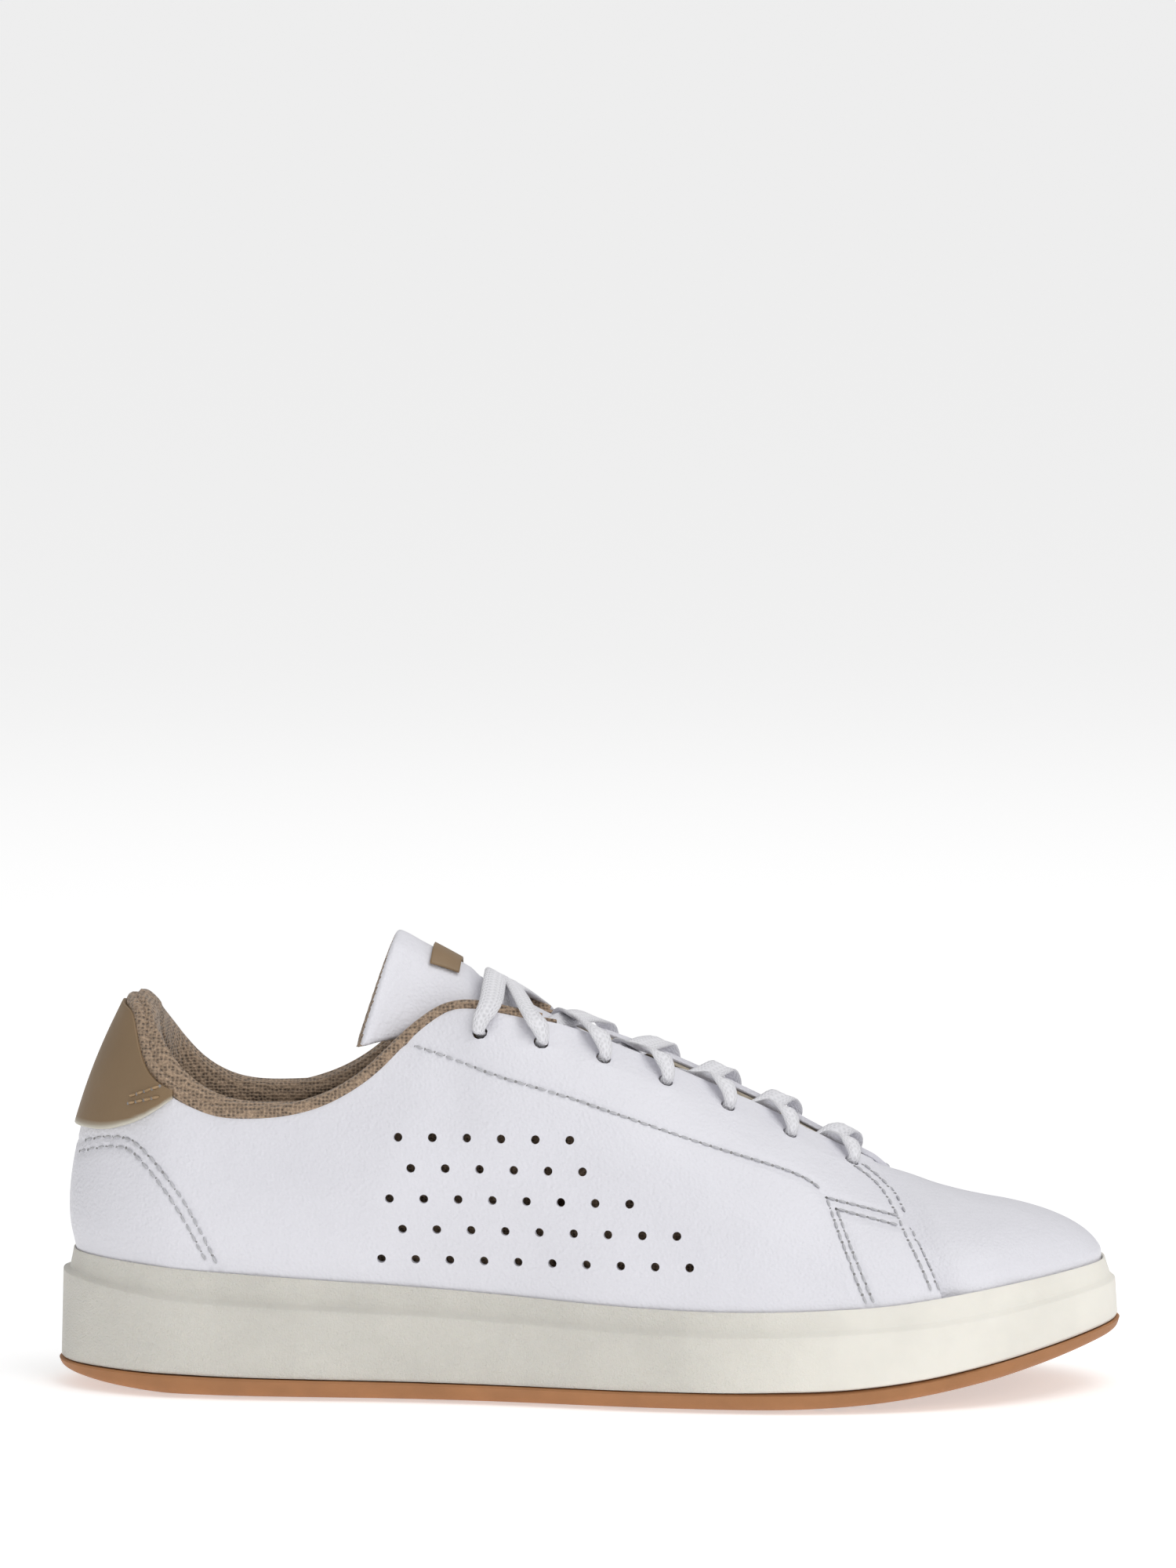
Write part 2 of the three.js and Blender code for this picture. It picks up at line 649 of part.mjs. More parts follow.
function collarFoam() {
  const columns = collarColumns.filter(([, q]) => q < FOAM_FRONT * along);
  const outer = columns.map(([side, q]) => {
    const path = inset(smoothPath(collarPath(side, q), PATH_STEPS), LINING + GAP);
    return path.slice(1, FOAM_STEPS + 1).map(([r, z]) => place(side, q, r, z));
  });
  const inner = columns.map(([side, q], i) => {
    const high = Math.min(vEdge(side, q) + 0.03, 1);
    const low = vAtZ(side, q, outer[i][FOAM_STEPS - 1].z);
    return outer[i].map((_, j) => {
      const v = mix(high, Math.min(low, high - 0.03), j / (FOAM_STEPS - 1));
      const [r, z] = layerSection(side, q, v, stiffenerFrom + 0.9);
      return place(side, q, r, z);
    });
  });
  return between(outer, inner);
}

function heelTab() {
  const low = curve([[-15, 73.2], [5, 73.6], [20, 76.5], [30, 81], [35, 84]], up);
  const high = curve([
    [-15, 108.5], [0, 107.6], [10, 104.5], [17, 99], [23, 92], [30, 87.2], [35, 85.4],
  ], up);
  return wrapPanel((a) => mix(FIRST_Q, 34 * along, a), (side, q) => vAtZ(side, q, low(q)),
    (side, q) => vAtZ(side, q, Math.min(high(q), topZ(q) - 0.4)), -GAP - HEEL_TAB, -GAP, 10, 4, false);
}

const sides = [['lateral', -1], ['medial', 1]];
const eyeletQ = (i) => mix(EYELET_FIRST_X, EYELET_LAST_X, i / (EYELETS - 1)) * along;

// v at a distance below the top edge of a quarter, or, if negative, above it in the throat
function vFromEdge(side, q, distance) {
  const top = vEdge(side, q);
  const edge = surface(side, q, top);
  const away = (v) => surface(side, q, v).distanceTo(edge);
  if (distance >= 0) return solve((v) => away(v) > distance, 0.3, top);
  return solve((v) => away(v) < -distance, top, 1);
}

const eyeletV = (side, i) => vFromEdge(side, eyeletQ(i), EYELET_FROM_EDGE);

// Round punch through every layer at each eyelet of one side
const PUNCH_LENGTH = 16;
const PUNCH_DEPTH = 3;
const PUNCH_SIDES = 10;
function punches(side) {
  const radius = EYELET_DIAMETER / 2;
  let all = null;
  for (let i = 0; i < EYELETS; i += 1) {
    const q = eyeletQ(i);
    const v = eyeletV(side, i);
    const turn = new THREE.Quaternion().setFromUnitVectors(new THREE.Vector3(0, 1, 0), normal(side, q, v));
    const punch = new THREE.CylinderGeometry(radius, radius, PUNCH_LENGTH, PUNCH_SIDES);
    punch.applyQuaternion(turn);
    const centre = layer(side, q, v, PUNCH_DEPTH);
    punch.translate(centre.x, centre.y, centre.z);
    const solid = toManifold(punch);
    all = all ? all.add(solid) : solid;
  }
  return all;
}

const cut = (geometry, punch) => toGeometry(toManifold(geometry).subtract(punch));

add('vamp', vamp(), 'white');
add('toe_puff', toePuff(), 'board');
add('vamp_lining', vampLining(), 'mesh');
add('heel_counter', heelCounter(), 'board');
let collar = toManifold(collarLining());
for (const [name, side] of sides) {
  const punch = punches(side);
  add(`quarter_${name}`, cut(quarter(side), punch), 'white');
  add(`eyestay_${name}`, cut(eyestay(side), punch), 'board');
  add(`forefoot_stay_${name}`, forefootStay(side), 'board');
  add(`quarter_lining_${name}`, cut(quarterLining(side), punch), 'mesh');
  collar = collar.subtract(punch);
}
add('collar_lining', toGeometry(collar), 'mesh');
add('collar_foam', collarFoam(), 'foam');
add('heel_tab', heelTab(), 'tan');

// Depths of the lace over and under the facings, and of the tongue below it
const OVER = GAP + LACE_THICKNESS / 2;
const LACE_EASE = 0.25;
const UNDER = liningTo + GAP + LACE_THICKNESS / 2 + LACE_EASE;
const TONGUE_DEPTH = UNDER + LACE_THICKNESS / 2 + GAP + 0.4;

// The tongue: a fixed lower length under the facings and a free flap above the top lace
const TONGUE_FOOT_X = 236;
const HINGE_X = 117.5;
const HINGE_GAP = 1;
const tongueHalf = curve([[117, 20], [128, 22], [150, 22], [200, 17], [228, 13.5], [236, 13]], across);

function tongueLower(d0, d1) {
  const columns = 13;
  const rows = 10;
  const sheet = (d) => Array.from({ length: columns + 1 }, (_, i) => {
    const q = mix(TONGUE_FOOT_X, HINGE_X + HINGE_GAP + 1.6, i / columns) * along;
    return Array.from({ length: rows + 1 }, (__, j) => {
      const b = (2 * j) / rows - 1;
      const side = b <= 0 ? -1 : 1;
      const r = Math.abs(b) * tongueHalf(q);
      return layer(side, q, Math.abs(b) < 1e-9 ? 1 : vAtR(side, q, r), d);
    });
  });
  return between(sheet(d0), sheet(d1));
}

// Flap sections from the hinge (0) to the top edge (1)
const flapCurve = (points, scaleValue) => curve(points.map(([k, value]) => [k / along, value]), scaleValue);
const flapX = flapCurve([[0, HINGE_X], [0.35, 110], [0.7, 102.5], [0.93, 97.3], [1, 95.5]], along);
const flapZ = flapCurve([[0, 117.6], [0.35, 121.9], [0.7, 125.8], [0.93, 128.7], [1, 129.4]], up);
const flapHalf = flapCurve([[0, 16], [0.35, 16.4], [0.7, 19], [1, 25.5]], across);
const FLAP_ASIDE = -0.9;
const flapDrop = flapCurve([[0, 11], [0.4, 19], [0.7, 25], [1, 31]], up);
const flapLean = flapCurve([[0, 0], [0.5, 2], [1, 8.5]], along);
const FLAP_LENGTH = 25;
const FLAP_ARC = 20;

function flapPoint(a, b) {
  const middle = spineY(flapX(a)) + FLAP_ASIDE;
  const y = middle + flapHalf(a) * b * (1 - 0.12 * b * b) / 0.88;
  const edge = Math.pow(Math.abs(b), 2.1);
  return new THREE.Vector3(flapX(a) - flapLean(a) * edge, y, flapZ(a) - flapDrop(a) * edge);
}

const FLAP_STEP = 0.004;
function flapLayer(a, b, d) {
  const e = FLAP_STEP;
  const da = flapPoint(Math.min(a + e, 1), b).sub(flapPoint(Math.max(a - e, 0), b));
  const db = flapPoint(a, b + e).sub(flapPoint(a, b - e));
  const n = da.cross(db).normalize();
  if (n.z < 0) n.negate();
  return flapPoint(a, b).addScaledVector(n, -d);
}

function flapPanel(a0, a1, b0, b1, d0, d1, columns, rows) {
  const sheet = (d) => Array.from({ length: columns + 1 }, (_, i) => {
    const a = mix(a0, a1, i / columns);
    return Array.from({ length: rows + 1 }, (__, j) => flapLayer(a, mix(b0, b1, j / rows), d));
  });
  return between(sheet(d0), sheet(d1));
}

const tongueFoamFrom = TONGUE_COVER + GAP;
const tongueLiningFrom = tongueFoamFrom + TONGUE_FOAM + GAP;
const tongueLayers = [
  ['cover', 0, TONGUE_COVER, 'white'],
  ['foam', tongueFoamFrom, tongueFoamFrom + TONGUE_FOAM, 'foam'],
  ['lining', tongueLiningFrom, tongueLiningFrom + TONGUE_LINING, 'mesh'],
];
for (const [name, from, to, look] of tongueLayers) {
  add(`tongue_${name}`, tongueLower(TONGUE_DEPTH + from, TONGUE_DEPTH + to), look);
  add(`tongue_flap_${name}`, flapPanel(HINGE_GAP / FLAP_LENGTH, 1, -1, 1, from, to, 7, 12), look);
}
const LABEL_START = 0.2;
const labelEnd = LABEL_START + LABEL_LENGTH / FLAP_LENGTH;
const labelHalf = LABEL_WIDTH / 2 / (FLAP_ARC * across);
add('tongue_label', flapPanel(LABEL_START, labelEnd, -labelHalf, labelHalf,
  -LAYER_GAP - LABEL_THICKNESS, -LAYER_GAP, 4, 6), 'tan');

// Lace: one flat ribbon through all the eyelets, out of each eyelet and under the opposite facing
const EYELET_WIDTH = EYELET_DIAMETER - 1.2;

// A point of the route: place, ribbon width and the direction along the throat that the width keeps to
function lacePoint(side, q, v, d, width) {
  const wide = surface(side, q + 1, v).sub(surface(side, q - 1, v)).normalize();
  return { place: layer(side, q, v, d), width, wide };
}

const edgeLace = (side, q, past, d, width) => lacePoint(side, q, vFromEdge(side, q, past), d, width);
const throatLace = (side, q, share, d, width) => (
  lacePoint(side, q, vAtR(side, q, throatHalf(q) * share), d, width)
);
const crossing = (q, lift, width) => lacePoint(-1, q, 1, TONGUE_DEPTH - OVER - lift, width);

function eyeletRise(side, i) {
  const q = eyeletQ(i);
  const v = eyeletV(side, i);
  return [
    lacePoint(side, q, v, UNDER, EYELET_WIDTH),
    lacePoint(side, q, v, UNDER * 0.6, EYELET_WIDTH),
    lacePoint(side, q, v, 0.7, EYELET_WIDTH),
    lacePoint(side, q, v, -OVER - 0.5, EYELET_WIDTH * 1.1),
  ];
}

// One crossing: out of an eyelet, over the facing, down to the tongue and under the opposite facing
const LACE_ARCH = 1.9;
function leg(side, q0, q1, lift, tail) {
  const rest = TONGUE_DEPTH - OVER - lift;
  const beforeEdge = Math.min(3.8, 0.3 * throatHalf(q1));
  const tuck = tail ? 0.6 : 0;
  return [
    edgeLace(side, mix(q0, q1, 0.08), 4, -OVER - LACE_ARCH, LACE_WIDTH * 0.75),
    edgeLace(side, mix(q0, q1, 0.22), 0.8, -OVER - LACE_ARCH, LACE_WIDTH * 0.95),
    throatLace(side, mix(q0, q1, 0.38), 0.5, rest * 0.55, LACE_WIDTH),
    crossing(mix(q0, q1, 0.5), lift, LACE_WIDTH),
    throatLace(-side, mix(q0, q1, 0.62), 0.5, rest + lift * 0.6 - 0.25, LACE_WIDTH),
    edgeLace(-side, mix(q0, q1, 0.76), -beforeEdge, UNDER + tuck + 0.1, LACE_WIDTH * (tail ? 0.75 : 0.9)),
    edgeLace(-side, mix(q0, q1, 0.88), 1.5, UNDER + tuck / 3, LACE_WIDTH * 0.7),
  ];
}

function laceRoute() {
  const half = (startSide) => {
    const points = [];
    let side = startSide;
    for (let i = EYELETS - 1; i >= 0; i -= 1) {
      points.push(...eyeletRise(side, i));
      const q1 = i > 0 ? eyeletQ(i - 1) : eyeletQ(0) + LACE_END_SHIFT * along;
      const over = (i + (startSide < 0 ? 0 : 1)) % 2 === 0;
      points.push(...leg(side, eyeletQ(i), q1, over ? LACE_THICKNESS + GAP : 0, i === 0));
      side = -side;
    }
    return points;
  };
  const last = eyeletQ(EYELETS - 1);
  const barEnd = (side) => throatLace(side, last, 0.6, UNDER - 0.4, LACE_WIDTH * 0.6);
  const bar = [barEnd(-1), crossing(last, 0.7, LACE_WIDTH * 0.7), barEnd(1)];
  return [...half(-1).reverse(), ...bar, ...half(1)];
}

// Ribbon of a changing width along a route
function ribbon(route, thickness, steps) {
  const path = new THREE.CatmullRomCurve3(route.map((p) => p.place), false, 'centripetal');
  const rings = [];
  for (let i = 0; i <= steps; i += 1) {
    const t = i / steps;
    const at = t * (route.length - 1);
    const k = Math.min(Math.floor(at), route.length - 2);
    const tangent = path.getTangent(t);
    const wide = route[k].wide.clone().lerp(route[k + 1].wide, at - k);
    wide.addScaledVector(tangent, -wide.dot(tangent)).normalize();
    const thin = tangent.clone().cross(wide).normalize();
    const half = mix(route[k].width, route[k + 1].width, at - k) / 2;
    rings.push([[-1, -1], [1, -1], [1, 1], [-1, 1]].map(([a, b]) => (
      path.getPoint(t).addScaledVector(wide, a * half).addScaledVector(thin, b * thickness / 2)
    )));
  }
  const { positions, quad } = faceList();
  for (let i = 0; i < steps; i += 1) {
    for (let j = 0; j < 4; j += 1) {
      const next = (j + 1) % 4;
      quad(rings[i][j], rings[i + 1][j], rings[i + 1][next], rings[i][next]);
    }
  }
  const [first, last] = [rings[0], rings[steps]];
  quad(first[0], first[1], first[2], first[3]);
  quad(last[3], last[2], last[1], last[0]);
  return closed(positions);
}

add('lace', ribbon(laceRoute(), LACE_THICKNESS, 230), 'lace');

// The reference point: middle of the footprint, on the ground
group.updateMatrixWorld(true);
const box = new THREE.Box3().setFromObject(group);
group.position.set(-(box.min.x + box.max.x) / 2, -(box.min.y + box.max.y) / 2, -box.min.z);
group.updateMatrixWorld(true);

export default group;
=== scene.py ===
import json
import math
import random
from itertools import permutations

import bmesh
import bpy
from mathutils import Matrix, Vector
from mathutils.bvhtree import BVHTree
from mathutils.kdtree import KDTree


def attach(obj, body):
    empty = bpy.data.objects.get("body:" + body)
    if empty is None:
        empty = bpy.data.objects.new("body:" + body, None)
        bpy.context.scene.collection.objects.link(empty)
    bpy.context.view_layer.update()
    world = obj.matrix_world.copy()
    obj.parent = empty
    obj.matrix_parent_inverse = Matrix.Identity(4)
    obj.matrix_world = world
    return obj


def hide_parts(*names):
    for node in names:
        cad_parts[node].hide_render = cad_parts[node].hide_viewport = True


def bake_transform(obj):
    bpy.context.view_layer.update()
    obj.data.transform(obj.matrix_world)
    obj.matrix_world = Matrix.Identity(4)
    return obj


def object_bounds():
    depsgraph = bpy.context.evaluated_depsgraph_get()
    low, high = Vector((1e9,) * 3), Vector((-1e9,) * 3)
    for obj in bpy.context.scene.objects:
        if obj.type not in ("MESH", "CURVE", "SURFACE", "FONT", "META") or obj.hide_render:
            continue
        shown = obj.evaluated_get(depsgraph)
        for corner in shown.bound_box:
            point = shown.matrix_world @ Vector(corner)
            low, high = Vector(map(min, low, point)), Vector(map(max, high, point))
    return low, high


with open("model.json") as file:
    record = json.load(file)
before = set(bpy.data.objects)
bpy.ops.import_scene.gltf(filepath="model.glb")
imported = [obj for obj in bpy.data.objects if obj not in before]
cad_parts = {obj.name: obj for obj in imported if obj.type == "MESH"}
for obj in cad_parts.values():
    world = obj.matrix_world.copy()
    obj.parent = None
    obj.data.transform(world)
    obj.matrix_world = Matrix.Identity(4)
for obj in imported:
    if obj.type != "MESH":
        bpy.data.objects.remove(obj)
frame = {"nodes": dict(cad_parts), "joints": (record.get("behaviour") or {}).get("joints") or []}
cad_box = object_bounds()

# Camera. A long lens looks at the outer side from a little above, with the toe slightly nearer.
scene = bpy.context.scene
middle = (cad_box[0] + cad_box[1]) / 2


def direction(azimuth, elevation):
    a, e = math.radians(azimuth), math.radians(elevation)
    return Vector((math.sin(a) * math.cos(e), -math.cos(a) * math.cos(e), math.sin(e)))


CAMERA_SIDE = (3, 8)
CAMERA_DISTANCE = 2.6
LENS_FIELD_HEIGHT = 0.4415
AIM_ABOVE = 0.1052
SENSOR_WIDTH = 36
VIEW_END = 400
camera_data = bpy.data.cameras.new("camera")
camera_data.sensor_width = SENSOR_WIDTH
camera_data.lens = SENSOR_WIDTH * CAMERA_DISTANCE / LENS_FIELD_HEIGHT
camera_data.clip_end = VIEW_END
camera = bpy.data.objects.new("camera", camera_data)
camera.location = middle + direction(*CAMERA_SIDE) * CAMERA_DISTANCE
aim = middle + Vector((0, 0, AIM_ABOVE)) - camera.location
camera.rotation_mode = "QUATERNION"
camera.rotation_quaternion = aim.to_track_quat("-Z", "Y")
scene.collection.objects.link(camera)
scene.camera = camera

# Floor and light. A plain white studio floor, one wide light overhead towards the toe, a softer one in
# front on the toe side and a weak one behind, so that the heel falls into a light grey.
FLOOR_REACH = 100
floor_mesh = bmesh.new()
bmesh.ops.create_grid(floor_mesh, x_segments=1, y_segments=1, size=FLOOR_REACH)
floor_data = bpy.data.meshes.new("floor")
floor_mesh.to_mesh(floor_data)
floor_mesh.free()
floor = bpy.data.objects.new("floor", floor_data)
scene.collection.objects.link(floor)
floor_paint = bpy.data.materials.new("floor_paint")
floor_paint.use_nodes = True
floor_shader = floor_paint.node_tree.nodes["Principled BSDF"]
floor_shader.inputs["Base Color"].default_value = (0.84, 0.84, 0.84, 1)
floor_shader.inputs["Roughness"].default_value = 0.9
floor_shader.inputs["Emission Color"].default_value = (1, 1, 1, 1)
floor_shader.inputs["Emission Strength"].default_value = 0.47
floor_data.materials.append(floor_paint)


def softbox(name, azimuth, elevation, distance, size, power):
    light = bpy.data.lights.new(name, "AREA")
    light.shape = "RECTANGLE"
    light.size, light.size_y = size
    light.energy = power
    lamp = bpy.data.objects.new(name, light)
    lamp.location = middle + direction(azimuth, elevation) * distance
    lamp.rotation_mode = "QUATERNION"
    lamp.rotation_quaternion = (-direction(azimuth, elevation)).to_track_quat("-Z", "Y")
    scene.collection.objects.link(lamp)


softbox("overhead", 50, 62, 1.6, (1.4, 1.0), 9.5)
softbox("front", 34, 22, 2.2, (1.2, 0.9), 5.6)
softbox("behind", 190, 40, 1.8, (1.4, 0.8), 2)
world = bpy.data.worlds.new("studio")
world.use_nodes = True
world.node_tree.nodes["Background"].inputs["Color"].default_value = (1, 1, 1, 1)
world.node_tree.nodes["Background"].inputs["Strength"].default_value = 0.45
scene.world = world
scene.view_settings.view_transform = "Standard"

# Outsole: one flat gum rubber sheet, moulded with a wave tread and stuck under the cup. Its tread is cut
# between the edge and the middle, and the edge shows as a brown line all round.
HEEL_X = cad_box[0].x
SHARP = math.radians(38)
SAME_POINT = 0.00002
LARGEST_SHIFT = 0.0012


def copy_of(node):
    """The CAD node's body as a bmesh, welded, with its triangle pairs joined to quads."""
    bm = bmesh.new()
    bm.from_mesh(frame["nodes"][node].data)
    bmesh.ops.remove_doubles(bm, verts=bm.verts, dist=SAME_POINT)
    bmesh.ops.join_triangles(bm, faces=bm.faces, angle_face_threshold=0.6, angle_shape_threshold=1.2)
    return bm


def shown(name, bm, material, body="shoe"):
    """Makes a piece of a bmesh, smooth shaded, and puts it on its body."""
    mesh = bpy.data.meshes.new(name)
    bm.to_mesh(mesh)
    bm.free()
    mesh.polygons.foreach_set("use_smooth", [True] * len(mesh.polygons))
    mesh.materials.append(material)
    piece = bpy.data.objects.new(name, mesh)
    scene.collection.objects.link(piece)
    if body:
        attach(piece, body)
    return piece


def evaluated(piece):
    """The piece's mesh with its modifiers applied."""
    graph = bpy.context.evaluated_depsgraph_get()
    graph.update()
    return bpy.data.meshes.new_from_object(piece.evaluated_get(graph), depsgraph=graph)


def refined(name, bm, material, levels, sharp=SHARP, crease=0.9, body="shoe"):
    """Rounds a body: its sharp edges stay, and its points stay where they were."""
    creases = bm.edges.layers.float.get("crease_edge") or bm.edges.layers.float.new("crease_edge")
    for edge in bm.edges:
        if len(edge.link_faces) == 2 and edge.calc_face_angle(0) > sharp:
            edge[creases] = crease
    piece = shown(name, bm, material, body)
    modifier = piece.modifiers.new("rounded", "SUBSURF")
    modifier.levels = modifier.render_levels = levels
    limit = evaluated(piece)
    for vertex in piece.data.vertices:
        offset = vertex.co - limit.vertices[vertex.index].co
        if offset.length < LARGEST_SHIFT:
            vertex.co += offset
    bpy.data.meshes.remove(limit)
    solid = evaluated(piece)
    piece.modifiers.remove(modifier)
    piece.data = solid
    return piece


class Finish:
    """A material in the making: its shader, its coordinates and the nodes that are added to it."""

    def __init__(self, name, roughness):
        self.material = bpy.data.materials.new(name)
        self.material.use_nodes = True
        self.nodes = self.material.node_tree.nodes
        self.links = self.material.node_tree.links
        self.shader = self.nodes["Principled BSDF"]
        self.shader.inputs["Roughness"].default_value = roughness
        self.place = self.nodes.new("ShaderNodeTexCoord").outputs["Object"]

    def add(self, kind, inputs=(), **settings):
        node = self.nodes.new(kind)
        for key, value in settings.items():
            setattr(node, key, value)
        for key, value in dict(inputs).items():
            if isinstance(value, bpy.types.NodeSocket):
                self.links.new(value, node.inputs[key])
            else:
                node.inputs[key].default_value = value
        return node

    def noise(self, scale, detail=3.0, rough=0.5):
        inputs = {"Vector": self.place, "Scale": scale, "Detail": detail, "Roughness": rough}
        return self.add("ShaderNodeTexNoise", inputs).outputs["Fac"]

    def cells(self, scale, randomness=1.0, feature="F1", vector=None):
        inputs = {"Vector": vector or self.place, "Scale": scale, "Randomness": randomness}
        return self.add("ShaderNodeTexVoronoi", inputs, feature=feature).outputs["Distance"]

    def math(self, operation, a, b):
        return self.add("ShaderNodeMath", {0: a, 1: b}, operation=operation).outputs[0]

    def ramp(self, factor, stops):
        node = self.add("ShaderNodeValToRGB", {"Fac": factor})
        while len(node.color_ramp.elements) < len(stops):
            node.color_ramp.elements.new(0.5)
        for element, (position, colour) in zip(node.color_ramp.elements, stops):
            element.position = position
            element.color = (*colour, 1)
        return node.outputs["Color"]

    def colour(self, socket):
        self.links.new(socket, self.shader.inputs["Base Color"])

    def roughness(self, factor, low, high):
        node = self.add("ShaderNodeMapRange", {"Value": factor, "To Min": low, "To Max": high})
        self.links.new(node.outputs["Result"], self.shader.inputs["Roughness"])

    def bump(self, *heights):
        """Stacks bumps: each is a height, its depth in metres and its strength."""
        below = None
        for height, depth, strength in heights:
            inputs = {"Height": height, "Distance": depth, "Strength": strength}
            if below:
                inputs["Normal"] = below
            below = self.add("ShaderNodeBump", inputs).outputs["Normal"]
        self.links.new(below, self.shader.inputs["Normal"])


def scaled(colour, k):
    return tuple(c * k for c in colour)


GUM = (0.40, 0.178, 0.068)
gum = Finish("gum_rubber", 0.6)
gum.colour(gum.ramp(gum.noise(90, 5), [(0.3, scaled(GUM, 0.9)), (0.7, scaled(GUM, 1.08))]))
gum.roughness(gum.noise(400, 2), 0.5, 0.68)
gum.bump((gum.noise(1800, 2), 0.00012, 0.4), (gum.noise(200, 2), 0.0003, 0.15))

outsole = refined("outsole_rubber", copy_of("outsole"), gum.material, 2, crease=0.85)
TREAD_PITCH = 0.0056
TREAD_DEPTH = 0.0016
TREAD_WIDTH = 0.0019
TREAD_START = 0.017
TREAD_ENDS = 0.03
TREAD_ACROSS = 0.11
TREAD_MARGIN = 0.006
CUTTER_HEIGHT = 0.006
WAVE = 0.0045
HALF_WAVE = 0.011
WAVE_STEPS = 36
UP = Vector((0, 0, 1))
BELOW = UP * -0.05
tread = bmesh.new()
tread_rows = int((cad_box[1].x - cad_box[0].x - TREAD_ENDS) / TREAD_PITCH)
for row in range(tread_rows):
    x = HEEL_X + TREAD_START + row * TREAD_PITCH
    line = []
    for step in range(WAVE_STEPS + 1):
        y = (step / WAVE_STEPS - 0.5) * TREAD_ACROSS
        line.append(Vector((x + WAVE * (abs((y / HALF_WAVE) % 2 - 1) - 0.5), y, 0)))
    ends = [tread.verts.new(p) for p in line]
    edges = [tread.edges.new(pair) for pair in zip(ends, ends[1:])]
    made = bmesh.ops.extrude_edge_only(tread, edges=edges)["geom"]
    moved = [v for v in made if isinstance(v, bmesh.types.BMVert)]
    bmesh.ops.translate(tread, verts=moved, vec=(TREAD_WIDTH, 0, 0))
outline_tree = BVHTree.FromPolygons(
    [v.co.copy() for v in outsole.data.vertices], [list(p.vertices) for p in outsole.data.polygons])
around = [Vector((TREAD_MARGIN * sx, TREAD_MARGIN * sy, 0)) for sx in (-1, 1) for sy in (-1, 1)]
for face in list(tread.faces):
    centre = face.calc_center_median()
    under = [outline_tree.ray_cast(centre + d + BELOW, UP) for d in around]
    inside = all(hit[0] is not None and hit[1].z < -0.9 for hit in under)
    if not inside:
        tread.faces.remove(face)
bmesh.ops.delete(tread, geom=[v for v in tread.verts if not v.link_faces], context="VERTS")
for vertex in tread.verts:
    hit = outline_tree.ray_cast(vertex.co + BELOW, UP)[0]
    vertex.co.z = (hit.z if hit else 0) + TREAD_DEPTH
made = bmesh.ops.extrude_face_region(tread, geom=tread.faces[:])["geom"]
lower = [v for v in made if isinstance(v, bmesh.types.BMVert)]
bmesh.ops.translate(tread, verts=lower, vec=UP * -CUTTER_HEIGHT)
bmesh.ops.recalc_face_normals(tread, faces=tread.faces)
cutter = shown("tread_cutter", tread, gum.material, None)


def cut_with(piece, tool):
    """Cuts one mesh out of another and throws the tool away."""
    cut = piece.modifiers.new("cut", "BOOLEAN")
    cut.object = tool
    cut.operation = "DIFFERENCE"
    cut.solver = "MANIFOLD"
    result = evaluated(piece)
    piece.modifiers.remove(cut)
    piece.data = result
    bpy.data.objects.remove(tool)


cut_with(outsole, cutter)


def flat_where_sharp(piece, angle=SHARP):
    """Smooth shading with crisp edges where the faces meet at more than the angle."""
    bm = bmesh.new()
    bm.from_mesh(piece.data)
    for edge in bm.edges:
        edge.smooth = edge.calc_face_angle(0) < angle
    for face in bm.faces:
        face.smooth = True
    bm.to_mesh(piece.data)
    bm.free()


flat_where_sharp(outsole)
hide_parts("outsole")

# Cup: one moulding of cream rubber with a step below its thin lip. The side wall is stippled by the
# mould from the heel to the ball and runs out smooth at the toe.
CREAM = (0.84, 0.815, 0.745)
STIPPLE_FADES = (HEEL_X + 0.165, HEEL_X + 0.225)
CUP_SHARP = math.radians(24)
cream = Finish("cream_rubber", 0.6)
cream.colour(cream.ramp(cream.noise(60, 6), [(0.35, scaled(CREAM, 0.96)), (0.65, scaled(CREAM, 1.03))]))
along = cream.add("ShaderNodeSeparateXYZ", {"Vector": cream.place}).outputs["X"]
stippled = cream.add("ShaderNodeMapRange", {
    "Value": along, "From Min": STIPPLE_FADES[0], "From Max": STIPPLE_FADES[1], "To Min": 1, "To Max": 0.06})
grains = cream.math("MULTIPLY", cream.noise(1700, 3, 0.75), stippled.outputs["Result"])
cream.roughness(cream.noise(500, 2), 0.5, 0.66)
cream.bump((grains, 0.0011, 0.85), (cream.noise(60, 2), 0.0006, 0.08))
cream.shader.inputs["Subsurface Weight"].default_value = 0.08
cream.shader.inputs["Subsurface Radius"].default_value = (0.004, 0.003, 0.002)
cup = refined("cup_rubber", copy_of("cupsole"), cream.material, 3, sharp=CUP_SHARP, crease=0.96)
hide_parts("cupsole")

# Footbed parts that the upper hides: moulded foam in the cup, the fibre board that the upper is sewn
# to, and the stiffeners between leather and lining. They keep their own bodies.
FOAM = (0.72, 0.66, 0.55)
foam = Finish("open_foam", 0.95)
# The foam is darker in the middle of each pore: painted shade in the pits of the cells.
foam.colour(foam.ramp(foam.cells(900), [(0.0, scaled(FOAM, 0.7)), (0.6, FOAM)]))
foam.bump((foam.cells(900), 0.0004, 0.6))
BOARD = (0.48, 0.42, 0.33)
board = Finish("fibre_board", 0.9)
board.colour(board.ramp(board.noise(700, 6, 0.7), [(0.3, scaled(BOARD, 0.8)), (0.7, scaled(BOARD, 1.1))]))
board.bump((board.noise(1600, 4), 0.0002, 0.5))


def finish_nodes(finish, slot, *names):
    for name in names:
        node = frame["nodes"][name]
        node.data.materials.clear()
        node.data.materials.append(finish.material)


